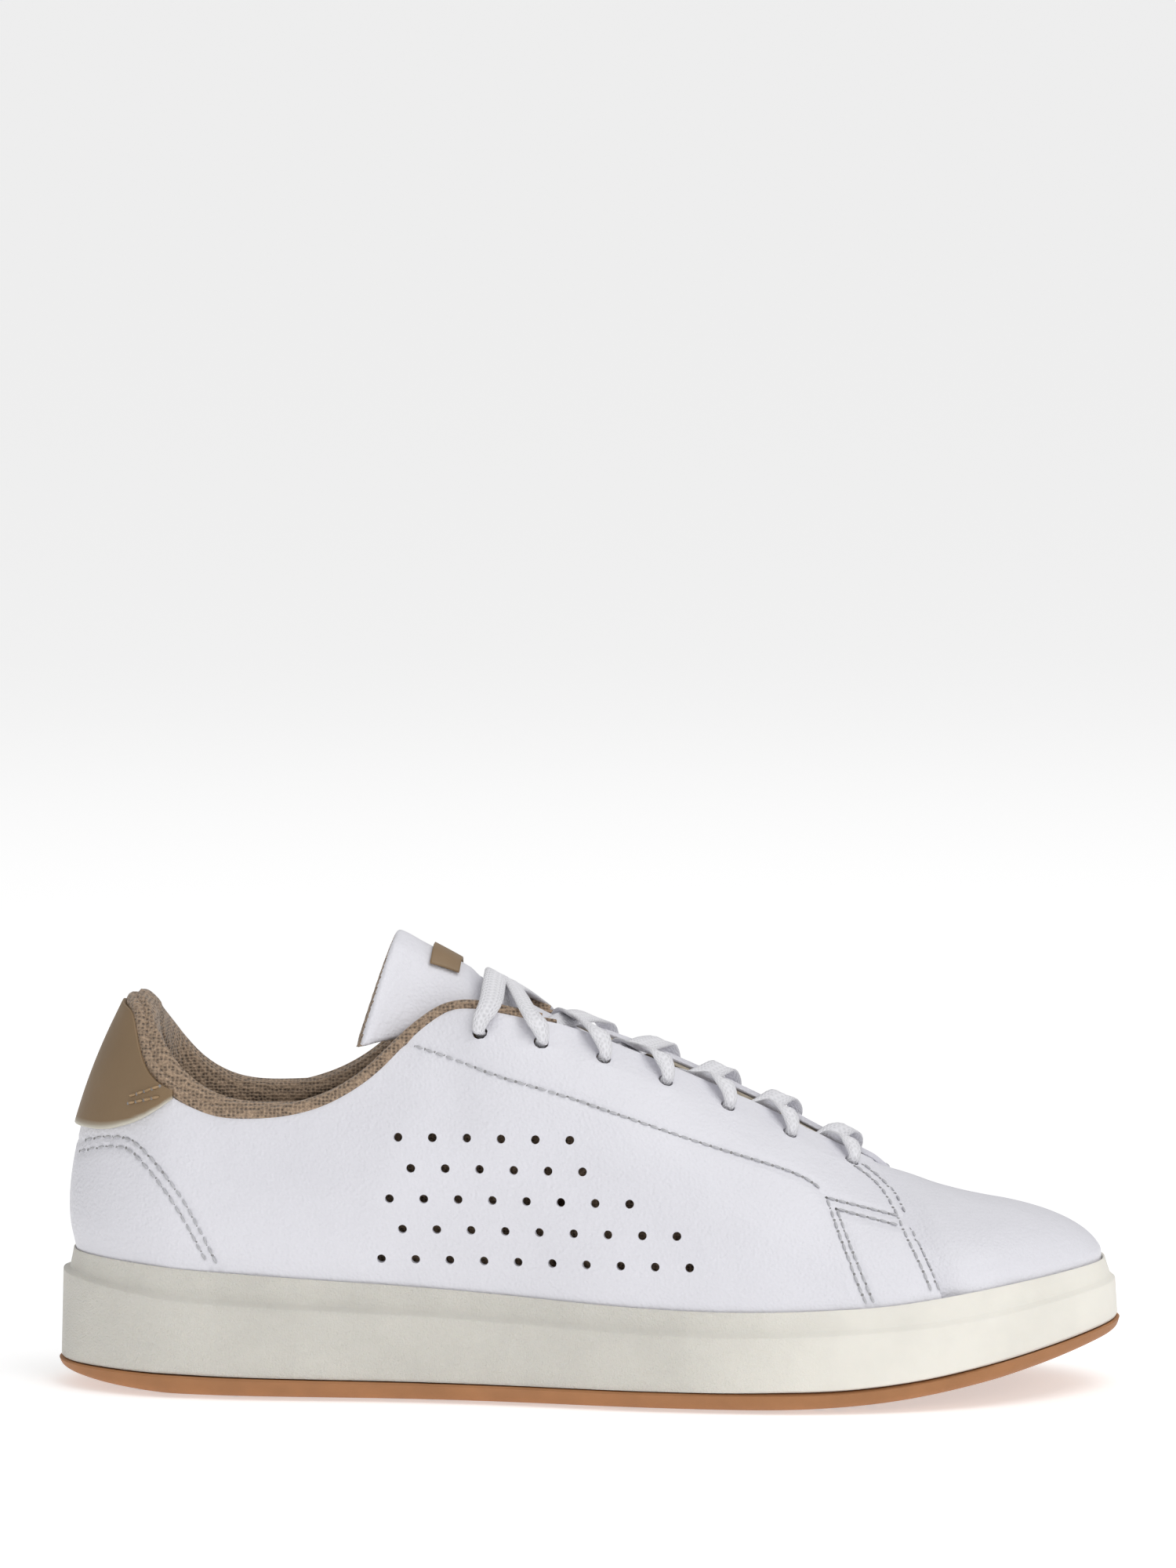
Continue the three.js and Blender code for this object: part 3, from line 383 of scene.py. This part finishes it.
finish_nodes(foam, "foam", "midsole_foam", "collar_foam")
finish_nodes(board, "board", "strobel_board", "toe_puff", "heel_counter", "eyestay_lateral",
             "eyestay_medial", "forefoot_stay_lateral", "forefoot_stay_medial")

# Linings: a tan warp-knitted spacer mesh, with small openings between its loops that are painted dark as
# shade. It lines the quarters and vamp, covers the footbed, and is turned over the padded collar.
MESH_CELL = 0.00115
TAN_YARN = (0.295, 0.21, 0.143)
knit = Finish("tan_mesh", 0.85)
squeezed = knit.add("ShaderNodeMapping", {"Vector": knit.place, "Scale": (1, 1, 1.25)}).outputs["Vector"]
openings = knit.cells(1 / MESH_CELL, 0.35, vector=squeezed)
# The yarn colour darkens towards the middle of each opening: painted shade in the gaps between the loops.
yarn_with_gap_shade = knit.ramp(openings, [(0.0, scaled(TAN_YARN, 0.2)), (0.2, scaled(TAN_YARN, 0.5)), (0.38, TAN_YARN),
                            (0.66, scaled(TAN_YARN, 1.5))])
patch = knit.ramp(knit.noise(1500, 3, 0.7), [(0.35, (0.62, 0.62, 0.62)), (0.65, (1.25, 1.25, 1.25))])
wear_and_gap_shade = knit.add("ShaderNodeMix", {0: 1.0, 6: yarn_with_gap_shade, 7: patch}, data_type="RGBA", blend_type="MULTIPLY")
knit.colour(wear_and_gap_shade.outputs[2])
knit.bump((openings, 0.0007, 0.9), (knit.noise(3500, 2), 0.0001, 0.5))
knit.shader.inputs["Sheen Weight"].default_value = 0.25
for node, fill in (("sockliner", 0.5), ("collar_lining", 0.7)):
    pad = refined(f"{node}_mesh", copy_of(node), knit.material, 2, crease=0.6)
    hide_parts(node)
for node in ("vamp_lining", "quarter_lining_lateral", "quarter_lining_medial"):
    lining = refined(f"{node}_mesh", copy_of(node), knit.material, 1, crease=0.8)
    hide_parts(node)

# Vamp and quarters: smooth white coated leather. The vamp passes under the quarters at the front seam.
# Each quarter is one cut piece with punched eyelets and a field of small round vents.
WHITE = (0.79, 0.785, 0.835)
leather = Finish("white_leather", 0.46)
shade = leather.noise(28, 5, 0.55)
leather.colour(leather.ramp(shade, [(0.3, scaled(WHITE, 0.965)), (0.7, scaled(WHITE, 1.02))]))
leather.roughness(leather.noise(320, 3), 0.4, 0.56)
pebble = leather.cells(1150, 1.0, "SMOOTH_F1")
creases = leather.noise(70, 6, 0.68)
leather.bump((creases, 0.0018, 0.3), (pebble, 0.00045, 0.4), (leather.noise(2400, 2), 0.0001, 0.5))
leather.shader.inputs["Coat Weight"].default_value = 0.06

# Lines of stitching on the side, from the heel forwards and from the ground up, in millimetres
MM = 0.001
SEAM_LINES = {
    "eyestay": [(99.1, 100), (114.3, 95.5), (125.6, 91.4), (142.6, 86.7), (159.4, 81), (176.4, 74.8),
                (193.2, 69.3), (207.7, 64.5), (214.6, 60.7), (216.8, 57.7)],
    "saddle_top": [(216.8, 57.7), (226.9, 54.9), (238.2, 51.7)],
    "saddle_second": [(219.6, 54.9), (227.4, 52.6), (237.4, 49.8)],
    "saddle_back": [(216.8, 57.7), (228.7, 29)],
    "saddle_back_second": [(219.6, 54.9), (231, 29)],
    "heel_outer": [(5.3, 68.6), (12.8, 71.4), (20.1, 72.2), (24.1, 70.8), (30.2, 65), (37.3, 56.1),
                   (42.4, 46.8), (47.5, 36.1)],
    "heel_inner": [(6.2, 66.2), (13.2, 68.8), (19.7, 69.5), (22.6, 68.6), (28.1, 63.3), (35, 54.6),
                   (40, 45.8), (45.0, 36.1)],
}
FRONT_SEAM = [(226.4, 64.4), (229.1, 62.7), (233.2, 59.6), (236.9, 55.2), (241.3, 47), (245.7, 39.4),
              (248.9, 31.6)]


def on_side(x, z):
    return Vector((HEEL_X + x * MM, 0, z * MM))


def rounded_line(points, step):
    """Points a step apart along a smooth line through the corners."""
    corners = [on_side(*p) for p in points]
    for _ in range(2):
        finer = [corners[0]]
        for a, b in zip(corners, corners[1:]):
            finer += [a.lerp(b, 0.25), a.lerp(b, 0.75)]
        corners = finer + [corners[-1]]
    line, left = [corners[0]], step
    for a, b in zip(corners, corners[1:]):
        length, at = (b - a).length, 0.0
        while length - at >= left:
            at += left
            line.append(a.lerp(b, at / length))
            left = step
        left -= length - at
    return line


GROOVE_WIDTH = 0.0013
GROOVE_DEPTH = 0.0005
GROOVE_STEP = 0.0003
grooves = [rounded_line(points, GROOVE_STEP) for points in SEAM_LINES.values()]


def groove(piece, lines):
    """Presses a shallow channel into the leather along its stitch lines."""
    near = KDTree(sum(len(line) for line in lines))
    for index, point in enumerate(p for line in lines for p in line):
        near.insert(point, index)
    near.balance()
    normals = [v.normal.copy() for v in piece.data.vertices]
    for vertex, normal in zip(piece.data.vertices, normals):
        distance = near.find((vertex.co.x, 0, vertex.co.z))[2]
        if distance < GROOVE_WIDTH:
            k = 1 - distance / GROOVE_WIDTH
            vertex.co -= normal * GROOVE_DEPTH * k * k * (3 - 2 * k)


vamp = refined("vamp_leather", copy_of("vamp"), leather.material, 3, crease=0.85)
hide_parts("vamp")

VENT_DIAMETER = 0.0025
VENT_SEGMENTS = 16
VENT_PIN = 0.008
VENT_FIRST = (93, 40)
VENT_PITCH = 9.6
VENT_RISE = 8.6
VENT_LEAN = 1.2
VENT_LAST_X = 193
VENT_SHORTER = 11.5
vent_places = []
for row in range(5):
    for column in range(10):
        x = VENT_FIRST[0] + VENT_PITCH * column + (VENT_PITCH / 2 if row % 2 else 0) + VENT_LEAN * row
        if x < VENT_LAST_X - VENT_SHORTER * row:
            vent_places.append((x, VENT_FIRST[1] + VENT_RISE * row))


def tree_of(*objects):
    vertices, faces = [], []
    for piece in objects:
        start = len(vertices)
        vertices += [v.co.copy() for v in piece.data.vertices]
        faces += [[start + i for i in p.vertices] for p in piece.data.polygons]
    return BVHTree.FromPolygons(vertices, faces)


OUTSIDE = 0.2


def from_side(tree, point, side):
    """Where a line from the side of the shoe meets a surface."""
    return tree.ray_cast(Vector((point.x, side * OUTSIDE, point.z)), Vector((0, -side, 0)))


quarters = {}
for name, side in (("lateral", -1), ("medial", 1)):
    bm = copy_of(f"quarter_{name}")
    quarter = refined(f"quarter_{name}_leather", bm, leather.material, 3, crease=0.85)
    tree = tree_of(quarter)
    pins = bmesh.new()
    for x, z in vent_places:
        hit, normal = from_side(tree, on_side(x, z), side)[:2]
        if hit is None:
            continue
        turn = normal.to_track_quat("Z", "Y").to_matrix().to_4x4()
        bmesh.ops.create_cone(
            pins, cap_ends=True, segments=VENT_SEGMENTS, radius1=VENT_DIAMETER / 2,
            radius2=VENT_DIAMETER / 2, depth=VENT_PIN, matrix=Matrix.Translation(hit) @ turn)
    groove(quarter, grooves)
    cut_with(quarter, shown(f"vent_pins_{name}", pins, leather.material, None))
    flat_where_sharp(quarter)
    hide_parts(f"quarter_{name}")
    quarters[side] = quarter

# Heel tab: a smooth tan coated sheet that wraps the back of the collar, with a pale moulded lower rim
# and a small sewn box at its front corner.
TAN = (0.25, 0.165, 0.088)
RIM = (0.62, 0.59, 0.50)
tab = Finish("tan_tab", 0.5)
rim = tab.add("ShaderNodeAttribute", attribute_name="rim").outputs["Fac"]
tone = tab.ramp(tab.noise(45, 4), [(0.3, scaled(TAN, 0.92)), (0.7, scaled(TAN, 1.06))])
tab.colour(tab.add("ShaderNodeMix", {0: rim, 6: tone, 7: (*RIM, 1)}, data_type="RGBA").outputs[2])
tab.roughness(tab.noise(300, 2), 0.42, 0.58)
tab.bump((tab.cells(1600, 1.0, "SMOOTH_F1"), 0.0001, 0.25), (tab.noise(50, 2), 0.0006, 0.1))
heel_tab = refined("heel_tab_sheet", copy_of("heel_tab"), tab.material, 3, crease=0.6)
RIM_HEIGHT = 0.0012
HEEL_CENTRE = Vector((HEEL_X + 0.035, 0, 0))
BIN = math.radians(4)


def round_heel(point):
    """The angle of a point round the back of the shoe, 0 at the very back."""
    return math.atan2(point.y - HEEL_CENTRE.y, HEEL_CENTRE.x - point.x)


tab_low = {}
for vertex in heel_tab.data.vertices:
    key = round(round_heel(vertex.co) / BIN)
    tab_low[key] = min(tab_low.get(key, 1), vertex.co.z)


def low_at(angle):
    """Height of the tab's lower edge at an angle."""
    k = math.floor(angle / BIN)
    first = tab_low.get(k, tab_low.get(k + 1, 1))
    return first + (tab_low.get(k + 1, first) - first) * (angle / BIN - k)


rims = heel_tab.data.attributes.new("rim", "FLOAT", "POINT")
for vertex in heel_tab.data.vertices:
    rise = vertex.co.z - low_at(round_heel(vertex.co))
    rims.data[vertex.index].value = min(max(1.6 - rise / RIM_HEIGHT, 0), 1)
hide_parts("heel_tab")

# Collar edge: the mesh lining is turned outwards over a cord and sewn along the top of the quarters, so a
# rounded tan band runs from the lace on one side, round behind the heel, to the lace on the other.
BAND_FRONT = 137
BAND_BACK = 36
BAND_STEP = 2.2
BAND_RADIUS = 0.0017
BAND_REACH = 0.0009
BACK_STEP = math.radians(5.6)
BACK_REACH = math.radians(2.2)
EDGE_DEPTH = 0.0012


def top_points(piece, near):
    """The highest points of a sheet's outer and inner edge where near() holds, and their middle."""
    found = [v.co for v in piece.data.vertices if near(v.co)]
    if not found:
        return None
    top = max(p.z for p in found)
    edge = [p for p in found if p.z > top - EDGE_DEPTH]
    return sum(edge, Vector()) / len(edge)


def along_side(side):
    """Points along the top of one quarter, from the front back to the heel."""
    line = []
    x = BAND_FRONT
    while x >= BAND_BACK:
        place = HEEL_X + x * MM
        point = top_points(quarters[side], lambda p: abs(p.x - place) < BAND_REACH)
        if point:
            line.append(Vector((place, point.y, point.z)))
        x -= BAND_STEP
    return line


back = []
for step in range(-15, 16):
    angle = step * BACK_STEP
    point = top_points(heel_tab, lambda p: abs(round_heel(p) - angle) < BACK_REACH)
    if point:
        back.append(point)
route = along_side(-1) + back + along_side(1)[::-1]
for _ in range(3):
    between = [(a + b * 2 + c) / 4 for a, b, c in zip(route, route[1:], route[2:])]
    route = [route[0], *between, route[-1]]
path = bpy.data.curves.new("collar_edge", "CURVE")
path.dimensions = "3D"
path.bevel_depth = BAND_RADIUS
path.bevel_resolution = 4
path.use_fill_caps = True
spline = path.splines.new("NURBS")
spline.points.add(len(route) - 1)
spline.order_u = 4
spline.use_endpoint_u = True
# The tube sits a little inside the edge of the leather, and further inside behind the heel
for knot, place in zip(spline.points, route):
    inward = Vector((0, -place.y, 0)) if place.x > HEEL_CENTRE.x else HEEL_CENTRE - place
    inward.z = 0
    behind = min(max((HEEL_CENTRE.x + 0.012 - place.x) / 0.03, 0), 1)
    shift = inward.normalized() * (0.0005 + 0.0018 * behind) + Vector((0, 0, 0.0011 - 0.0006 * behind))
    knot.co = (*(place + shift), 1)
    ahead = min(max((place.x - HEEL_X - 0.09) / 0.02, 0), 1)
    knot.radius = 1.12 - 0.22 * ahead
tube = bpy.data.objects.new("collar_tube", path)
scene.collection.objects.link(tube)
collar_mesh = evaluated(tube)
bpy.data.objects.remove(tube)
collar_mesh.name = "collar_edge"
collar_mesh.materials.clear()
collar_mesh.materials.append(knit.material)
collar_mesh.polygons.foreach_set("use_smooth", [True] * len(collar_mesh.polygons))
collar_edge = bpy.data.objects.new("collar_edge", collar_mesh)
scene.collection.objects.link(collar_edge)
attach(collar_edge, "shoe")

# Tongue: leather over foam with a mesh back, sewn in at the vamp. It is one padded piece that bends
# above the top lace, with its layers closed together round the edge.
HINGE = frame["joints"][0]["pos_m"]
BEND_LEATHER = 0.007
EDGE_LEATHER = 0.0005
WALL_DEPTH = 0.004
FILL_STEP = 0.0009


def bridged(layer):
    """One layer of the tongue, its lower length and its flap joined across the bend."""
    low, flap = copy_of(f"tongue_{layer}"), copy_of(f"tongue_flap_{layer}")
    joined = bmesh.new()
    loops = []
    for part, sign in ((low, 1), (flap, -1)):
        mesh = bpy.data.meshes.new("part")
        part.to_mesh(mesh)
        part.free()
        before = len(joined.faces)
        joined.from_mesh(mesh)
        bpy.data.meshes.remove(mesh)
        joined.faces.ensure_lookup_table()
        added = joined.faces[before:]
        facing = [f for f in added if f.normal.x * sign < -0.6]
        edge = min(sign * f.calc_center_median().x for f in facing)
        wall = [f for f in facing if sign * f.calc_center_median().x < edge + WALL_DEPTH]
        inner = set(wall)
        loops += [e for f in wall for e in f.edges if any(g not in inner for g in e.link_faces)]
        bmesh.ops.delete(joined, geom=wall, context="FACES_ONLY")
    loops = [e for e in loops if e.is_valid]
    bmesh.ops.bridge_loops(joined, edges=loops)
    bmesh.ops.recalc_face_normals(joined, faces=joined.faces)
    return joined


whole = bmesh.new()
for layer in ("cover", "foam", "lining"):
    part = bridged(layer)
    mesh = bpy.data.meshes.new("layer")
    part.to_mesh(mesh)
    part.free()
    whole.from_mesh(mesh)
    bpy.data.meshes.remove(mesh)
tongue = shown("tongue_pad", whole, leather.material, None)
weld = tongue.modifiers.new("joined", "REMESH")
weld.mode = "VOXEL"
weld.voxel_size = FILL_STEP
even = tongue.modifiers.new("even", "SMOOTH")
even.factor = 0.6
even.iterations = 14
solid = evaluated(tongue)
tongue.modifiers.clear()
tongue.data = solid
tongue.data.materials.clear()
tongue.data.materials.append(leather.material)
tongue.data.materials.append(knit.material)
faces_out = tree_of(frame["nodes"]["tongue_cover"], frame["nodes"]["tongue_flap_cover"])
faces_in = tree_of(frame["nodes"]["tongue_lining"], frame["nodes"]["tongue_flap_lining"])
for face in tongue.data.polygons:
    face.use_smooth = True
    to_cover = faces_out.find_nearest(face.center)[3]
    to_lining = faces_in.find_nearest(face.center)[3]
    at_bend = abs(face.center.x - HINGE[0]) < BEND_LEATHER
    face.material_index = int(to_lining < to_cover or (to_cover > EDGE_LEATHER and not at_bend))
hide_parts("tongue_cover", "tongue_foam", "tongue_lining", "tongue_flap_cover", "tongue_flap_foam",
            "tongue_flap_lining")
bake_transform(tongue)

# Label: a small plain plate of the same tan sheet as the heel tab, stuck on the front of the tongue
# just above the top lace, so it moves with the free end of the tongue.
bm = copy_of("tongue_label")
label = refined("tongue_label_plate", bm, tab.material, 2, crease=0.5, body="tongue_flap")
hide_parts("tongue_label")

# Lace: one flat woven cotton lace through all the eyelets. It is narrower where it goes through an eyelet,
# and its herringbone weave follows its own length.
cotton = Finish("woven_cotton", 0.85)
uv = cotton.nodes["Texture Coordinate"].outputs["UV"]
part = cotton.add("ShaderNodeSeparateXYZ", {"Vector": uv})
across, down = part.outputs["X"], part.outputs["Y"]
folded = cotton.math("ABSOLUTE", cotton.math("SUBTRACT", across, 0.5), 0)
slant = cotton.math("ADD", cotton.math("MULTIPLY", folded, 16.0), cotton.math("MULTIPLY", down, 1900.0))
ribs = cotton.math("SINE", cotton.math("MULTIPLY", slant, 2.0), 0)
cords = cotton.math("SINE", cotton.math("MULTIPLY", across, 70.0), 0)
weave = cotton.math("ADD", ribs, cotton.math("MULTIPLY", cords, 0.7))
COTTON = (0.86, 0.855, 0.89)
# The colour is darker in the low parts of the weave: painted shade between the ribs and cords.
weave_shade = cotton.add("ShaderNodeMapRange", {"Value": weave, "From Min": -1.7, "From Max": 1.2})
cotton.colour(cotton.ramp(weave_shade.outputs["Result"], [(0.0, scaled(COTTON, 0.86)), (0.5, COTTON)]))
cotton.bump((weave, 0.00018, 0.6), (cotton.noise(3800, 2), 0.0001, 0.5))
cotton.shader.inputs["Sheen Weight"].default_value = 0.2

bm = bmesh.new()
bm.from_mesh(frame["nodes"]["lace"].data)
bmesh.ops.remove_doubles(bm, verts=bm.verts, dist=SAME_POINT / 2)


def rings_from(seed):
    """Rings of four points from one end of the ribbon to the other, if the seed is an end."""
    rings, seen, ring = [list(seed)], set(seed), set(seed)
    while True:
        ring = {e.other_vert(v) for v in ring for e in v.link_edges} - seen
        if not ring:
            return rings
        if len(ring) != 4:
            return None
        rings.append(list(ring))
        seen |= ring


rings = None
for edge in bm.edges:
    corners = {v for f in edge.link_faces for v in f.verts}
    if len(corners) == 4 and len({g for f in edge.link_faces for e in f.edges for g in e.link_faces}) > 2:
        rings = rings_from(corners)
    if rings and len(rings) > 100:
        break


def in_order(ring, before):
    """The ring's points in the order that puts each nearest to its own one in the ring before."""
    return min(permutations(ring), key=lambda t: sum((p - q).length_squared for p, q in zip(t, before)))


first = sorted((v.co.copy() for v in rings[0]), key=tuple)
start = first[0]
corner, thick_mate, wide_mate, far = sorted(first, key=lambda p: (p - start).length)
ordered = [(corner, wide_mate, far, thick_mate)]
for ring in rings[1:]:
    ordered.append(in_order([v.co.copy() for v in ring], ordered[-1]))
bm.free()
LACE_STEPS = 3
SECTION = 14


def smooth_between(rows, k, t):
    """A point on the smooth line through rows, between row k and the next."""
    p = [rows[min(max(k + i, 0), len(rows) - 1)] for i in (-1, 0, 1, 2)]
    return 0.5 * ((2 * p[1]) + (p[2] - p[0]) * t + (2 * p[0] - 5 * p[1] + 4 * p[2] - p[3]) * t * t
                  + (3 * p[1] - p[0] - 3 * p[2] + p[3]) * t * t * t)


centres = [sum(r, Vector()) / 4 for r in ordered]
wides = [(r[1] - r[0] + r[2] - r[3]) / 4 for r in ordered]
thins = [(r[3] - r[0] + r[2] - r[1]) / 4 for r in ordered]
ribbon = bmesh.new()
uvs = ribbon.loops.layers.uv.new("weave")
previous, last_centre, length = None, None, 0.0
for k in range(len(centres) - 1):
    for step in range(LACE_STEPS):
        t = step / LACE_STEPS
        centre, wide, thin = (smooth_between(rows, k, t) for rows in (centres, wides, thins))
        row = []
        for i in range(SECTION):
            angle = 2 * math.pi * i / SECTION
            flat = math.copysign(abs(math.cos(angle)) ** 0.6, math.cos(angle))
            crown = math.copysign(abs(math.sin(angle)) ** 0.75, math.sin(angle))
            row.append(ribbon.verts.new(centre + wide * flat + thin * crown))
        if previous:
            run = (centre - last_centre).length
            for i in range(SECTION):
                j = (i + 1) % SECTION
                face = ribbon.faces.new((previous[i], previous[j], row[j], row[i]))
                face.smooth = True
                a, b = (abs(1 - 2 * n / SECTION) for n in (i, i + 1))
                end = length + run
                for loop, place in zip(face.loops, ((a, length), (b, length), (b, end), (a, end))):
                    loop[uvs].uv = place
            length += run
        else:
            ribbon.faces.new(row[::-1])
        previous, last_centre = row, centre
ribbon.faces.new(previous)
bmesh.ops.recalc_face_normals(ribbon, faces=ribbon.faces)
lace = shown("lace_ribbon", ribbon, cotton.material)
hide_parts("lace")

# Stitching: white bonded thread in short lock stitches, about three to the centimetre, lying in their
# grooves between dark discs of painted shade at the needle holes, and a tan one in a small box on the tab.
THREAD = (0.56, 0.56, 0.585)
thread = Finish("bonded_thread", 0.6)
thread.colour(thread.ramp(thread.noise(900, 2), [(0.3, scaled(THREAD, 0.85)), (0.7, THREAD)]))
thread.bump((thread.noise(4000, 2), 0.0001, 0.5))
tan_thread = Finish("tan_thread", 0.6)
tan_tone = tan_thread.ramp(tan_thread.noise(900, 2), [(0.3, scaled(TAN, 1.3)), (0.7, scaled(TAN, 1.8))])
tan_thread.colour(tan_tone)
# The needle holes are dark grey discs laid on the leather: painted shade where the holes are.
hole_shade_finish = Finish("needle_hole_shade", 0.8)
hole_shade_finish.colour(hole_shade_finish.ramp(hole_shade_finish.noise(900, 2), [(0.3, (0.24, 0.235, 0.235)), (0.7, (0.36, 0.355, 0.36))]))
STITCH_STEP = 0.003
STITCH_LENGTH = 0.0024
LONGEST_STITCH = 0.006
THREAD_RADIUS = 0.00036
STITCH_LIFT = 0.85
STITCH_TILT = 0.08
SHADE_DISC_RADIUS = 0.00046
SHADE_DISC_LIFT = 0.00004
SECOND_ROW = 2.1
TAB_BOX = [(30.6, 87.2), (21.4, 83.6), (21.4, 81.8), (31.6, 84.6)]
random.seed(7)


def template(make):
    """A small shape's points and faces, for copies."""
    bm = bmesh.new()
    make(bm)
    bm.verts.index_update()
    shape = [v.co.copy() for v in bm.verts], [[v.index for v in f.verts] for f in bm.faces]
    bm.free()
    return shape


stitch_shape = template(lambda bm: bmesh.ops.create_uvsphere(
    bm, u_segments=6, v_segments=5, radius=1, matrix=Matrix.Rotation(math.pi / 2, 4, "Y")))
shade_disc_shape = template(lambda bm: bmesh.ops.create_circle(bm, cap_ends=True, segments=7, radius=1))


class Seam:
    """The stitches of one or more rows, with painted shade discs at the needle holes between them."""

    def __init__(self):
        self.shapes = {"stitches": ([], []), "shade_discs": ([], [])}

    def put(self, kind, shape, matrix):
        points, faces = self.shapes[kind]
        start = len(points)
        points += [matrix @ p for p in shape[0]]
        faces += [[start + i for i in f] for f in shape[1]]

    def sew(self, line, tree, side):
        for a, b in zip(line, line[1:]):
            start, start_normal = from_side(tree, a, side)[:2]
            end, end_normal = from_side(tree, b, side)[:2]
            if start is None or end is None or (end - start).length > LONGEST_STITCH:
                continue
            way = (end - start).normalized()
            normal = (start_normal + end_normal).normalized()
            over = way.cross(normal).normalized()
            tilt = Matrix.Rotation(random.uniform(-STITCH_TILT, STITCH_TILT), 4, normal)
            turn = Matrix((way, over, way.cross(over))).transposed().to_4x4()
            size = Matrix.Diagonal((STITCH_LENGTH / 2, THREAD_RADIUS * 1.15, THREAD_RADIUS, 1))
            place = Matrix.Translation((start + end) / 2 + normal * THREAD_RADIUS * STITCH_LIFT)
            self.put("stitches", stitch_shape, place @ tilt @ turn @ size)
            # Each needle hole gets a small dark disc on the leather: painted shade.
            flat = start_normal.to_track_quat("Z", "Y").to_matrix().to_4x4()
            lie = Matrix.Translation(start + start_normal * SHADE_DISC_LIFT) @ flat
            self.put("shade_discs", shade_disc_shape, lie @ Matrix.Scale(SHADE_DISC_RADIUS, 4))

    def show(self, name, threads):
        for kind, finish in (("stitches", threads), ("shade_discs", hole_shade_finish)):
            points, faces = self.shapes[kind]
            mesh = bpy.data.meshes.new(f"{name}_{kind}")
            mesh.from_pydata(points, [], faces)
            mesh.polygons.foreach_set("use_smooth", [True] * len(mesh.polygons))
            mesh.materials.append(finish.material)
            piece = bpy.data.objects.new(f"{name}_{kind}", mesh)
            scene.collection.objects.link(piece)
            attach(piece, "shoe")


tab_tree = tree_of(heel_tab)
for name, side in (("lateral", -1), ("medial", 1)):
    tree = tree_of(quarters[side], vamp)
    seam = Seam()
    for points in SEAM_LINES.values():
        seam.sew(rounded_line(points, STITCH_STEP), tree, side)
    for behind in (0, SECOND_ROW):
        seam.sew(rounded_line([(x - behind, z) for x, z in FRONT_SEAM], STITCH_STEP), tree, side)
    seam.show(f"seam_{name}", thread)
    tab_seam = Seam()
    for a, b in zip(TAB_BOX, TAB_BOX[1:]):
        tab_seam.sew(rounded_line([a, b], STITCH_STEP * 0.8), tab_tree, side)
    tab_seam.show(f"tab_seam_{name}", tan_thread)
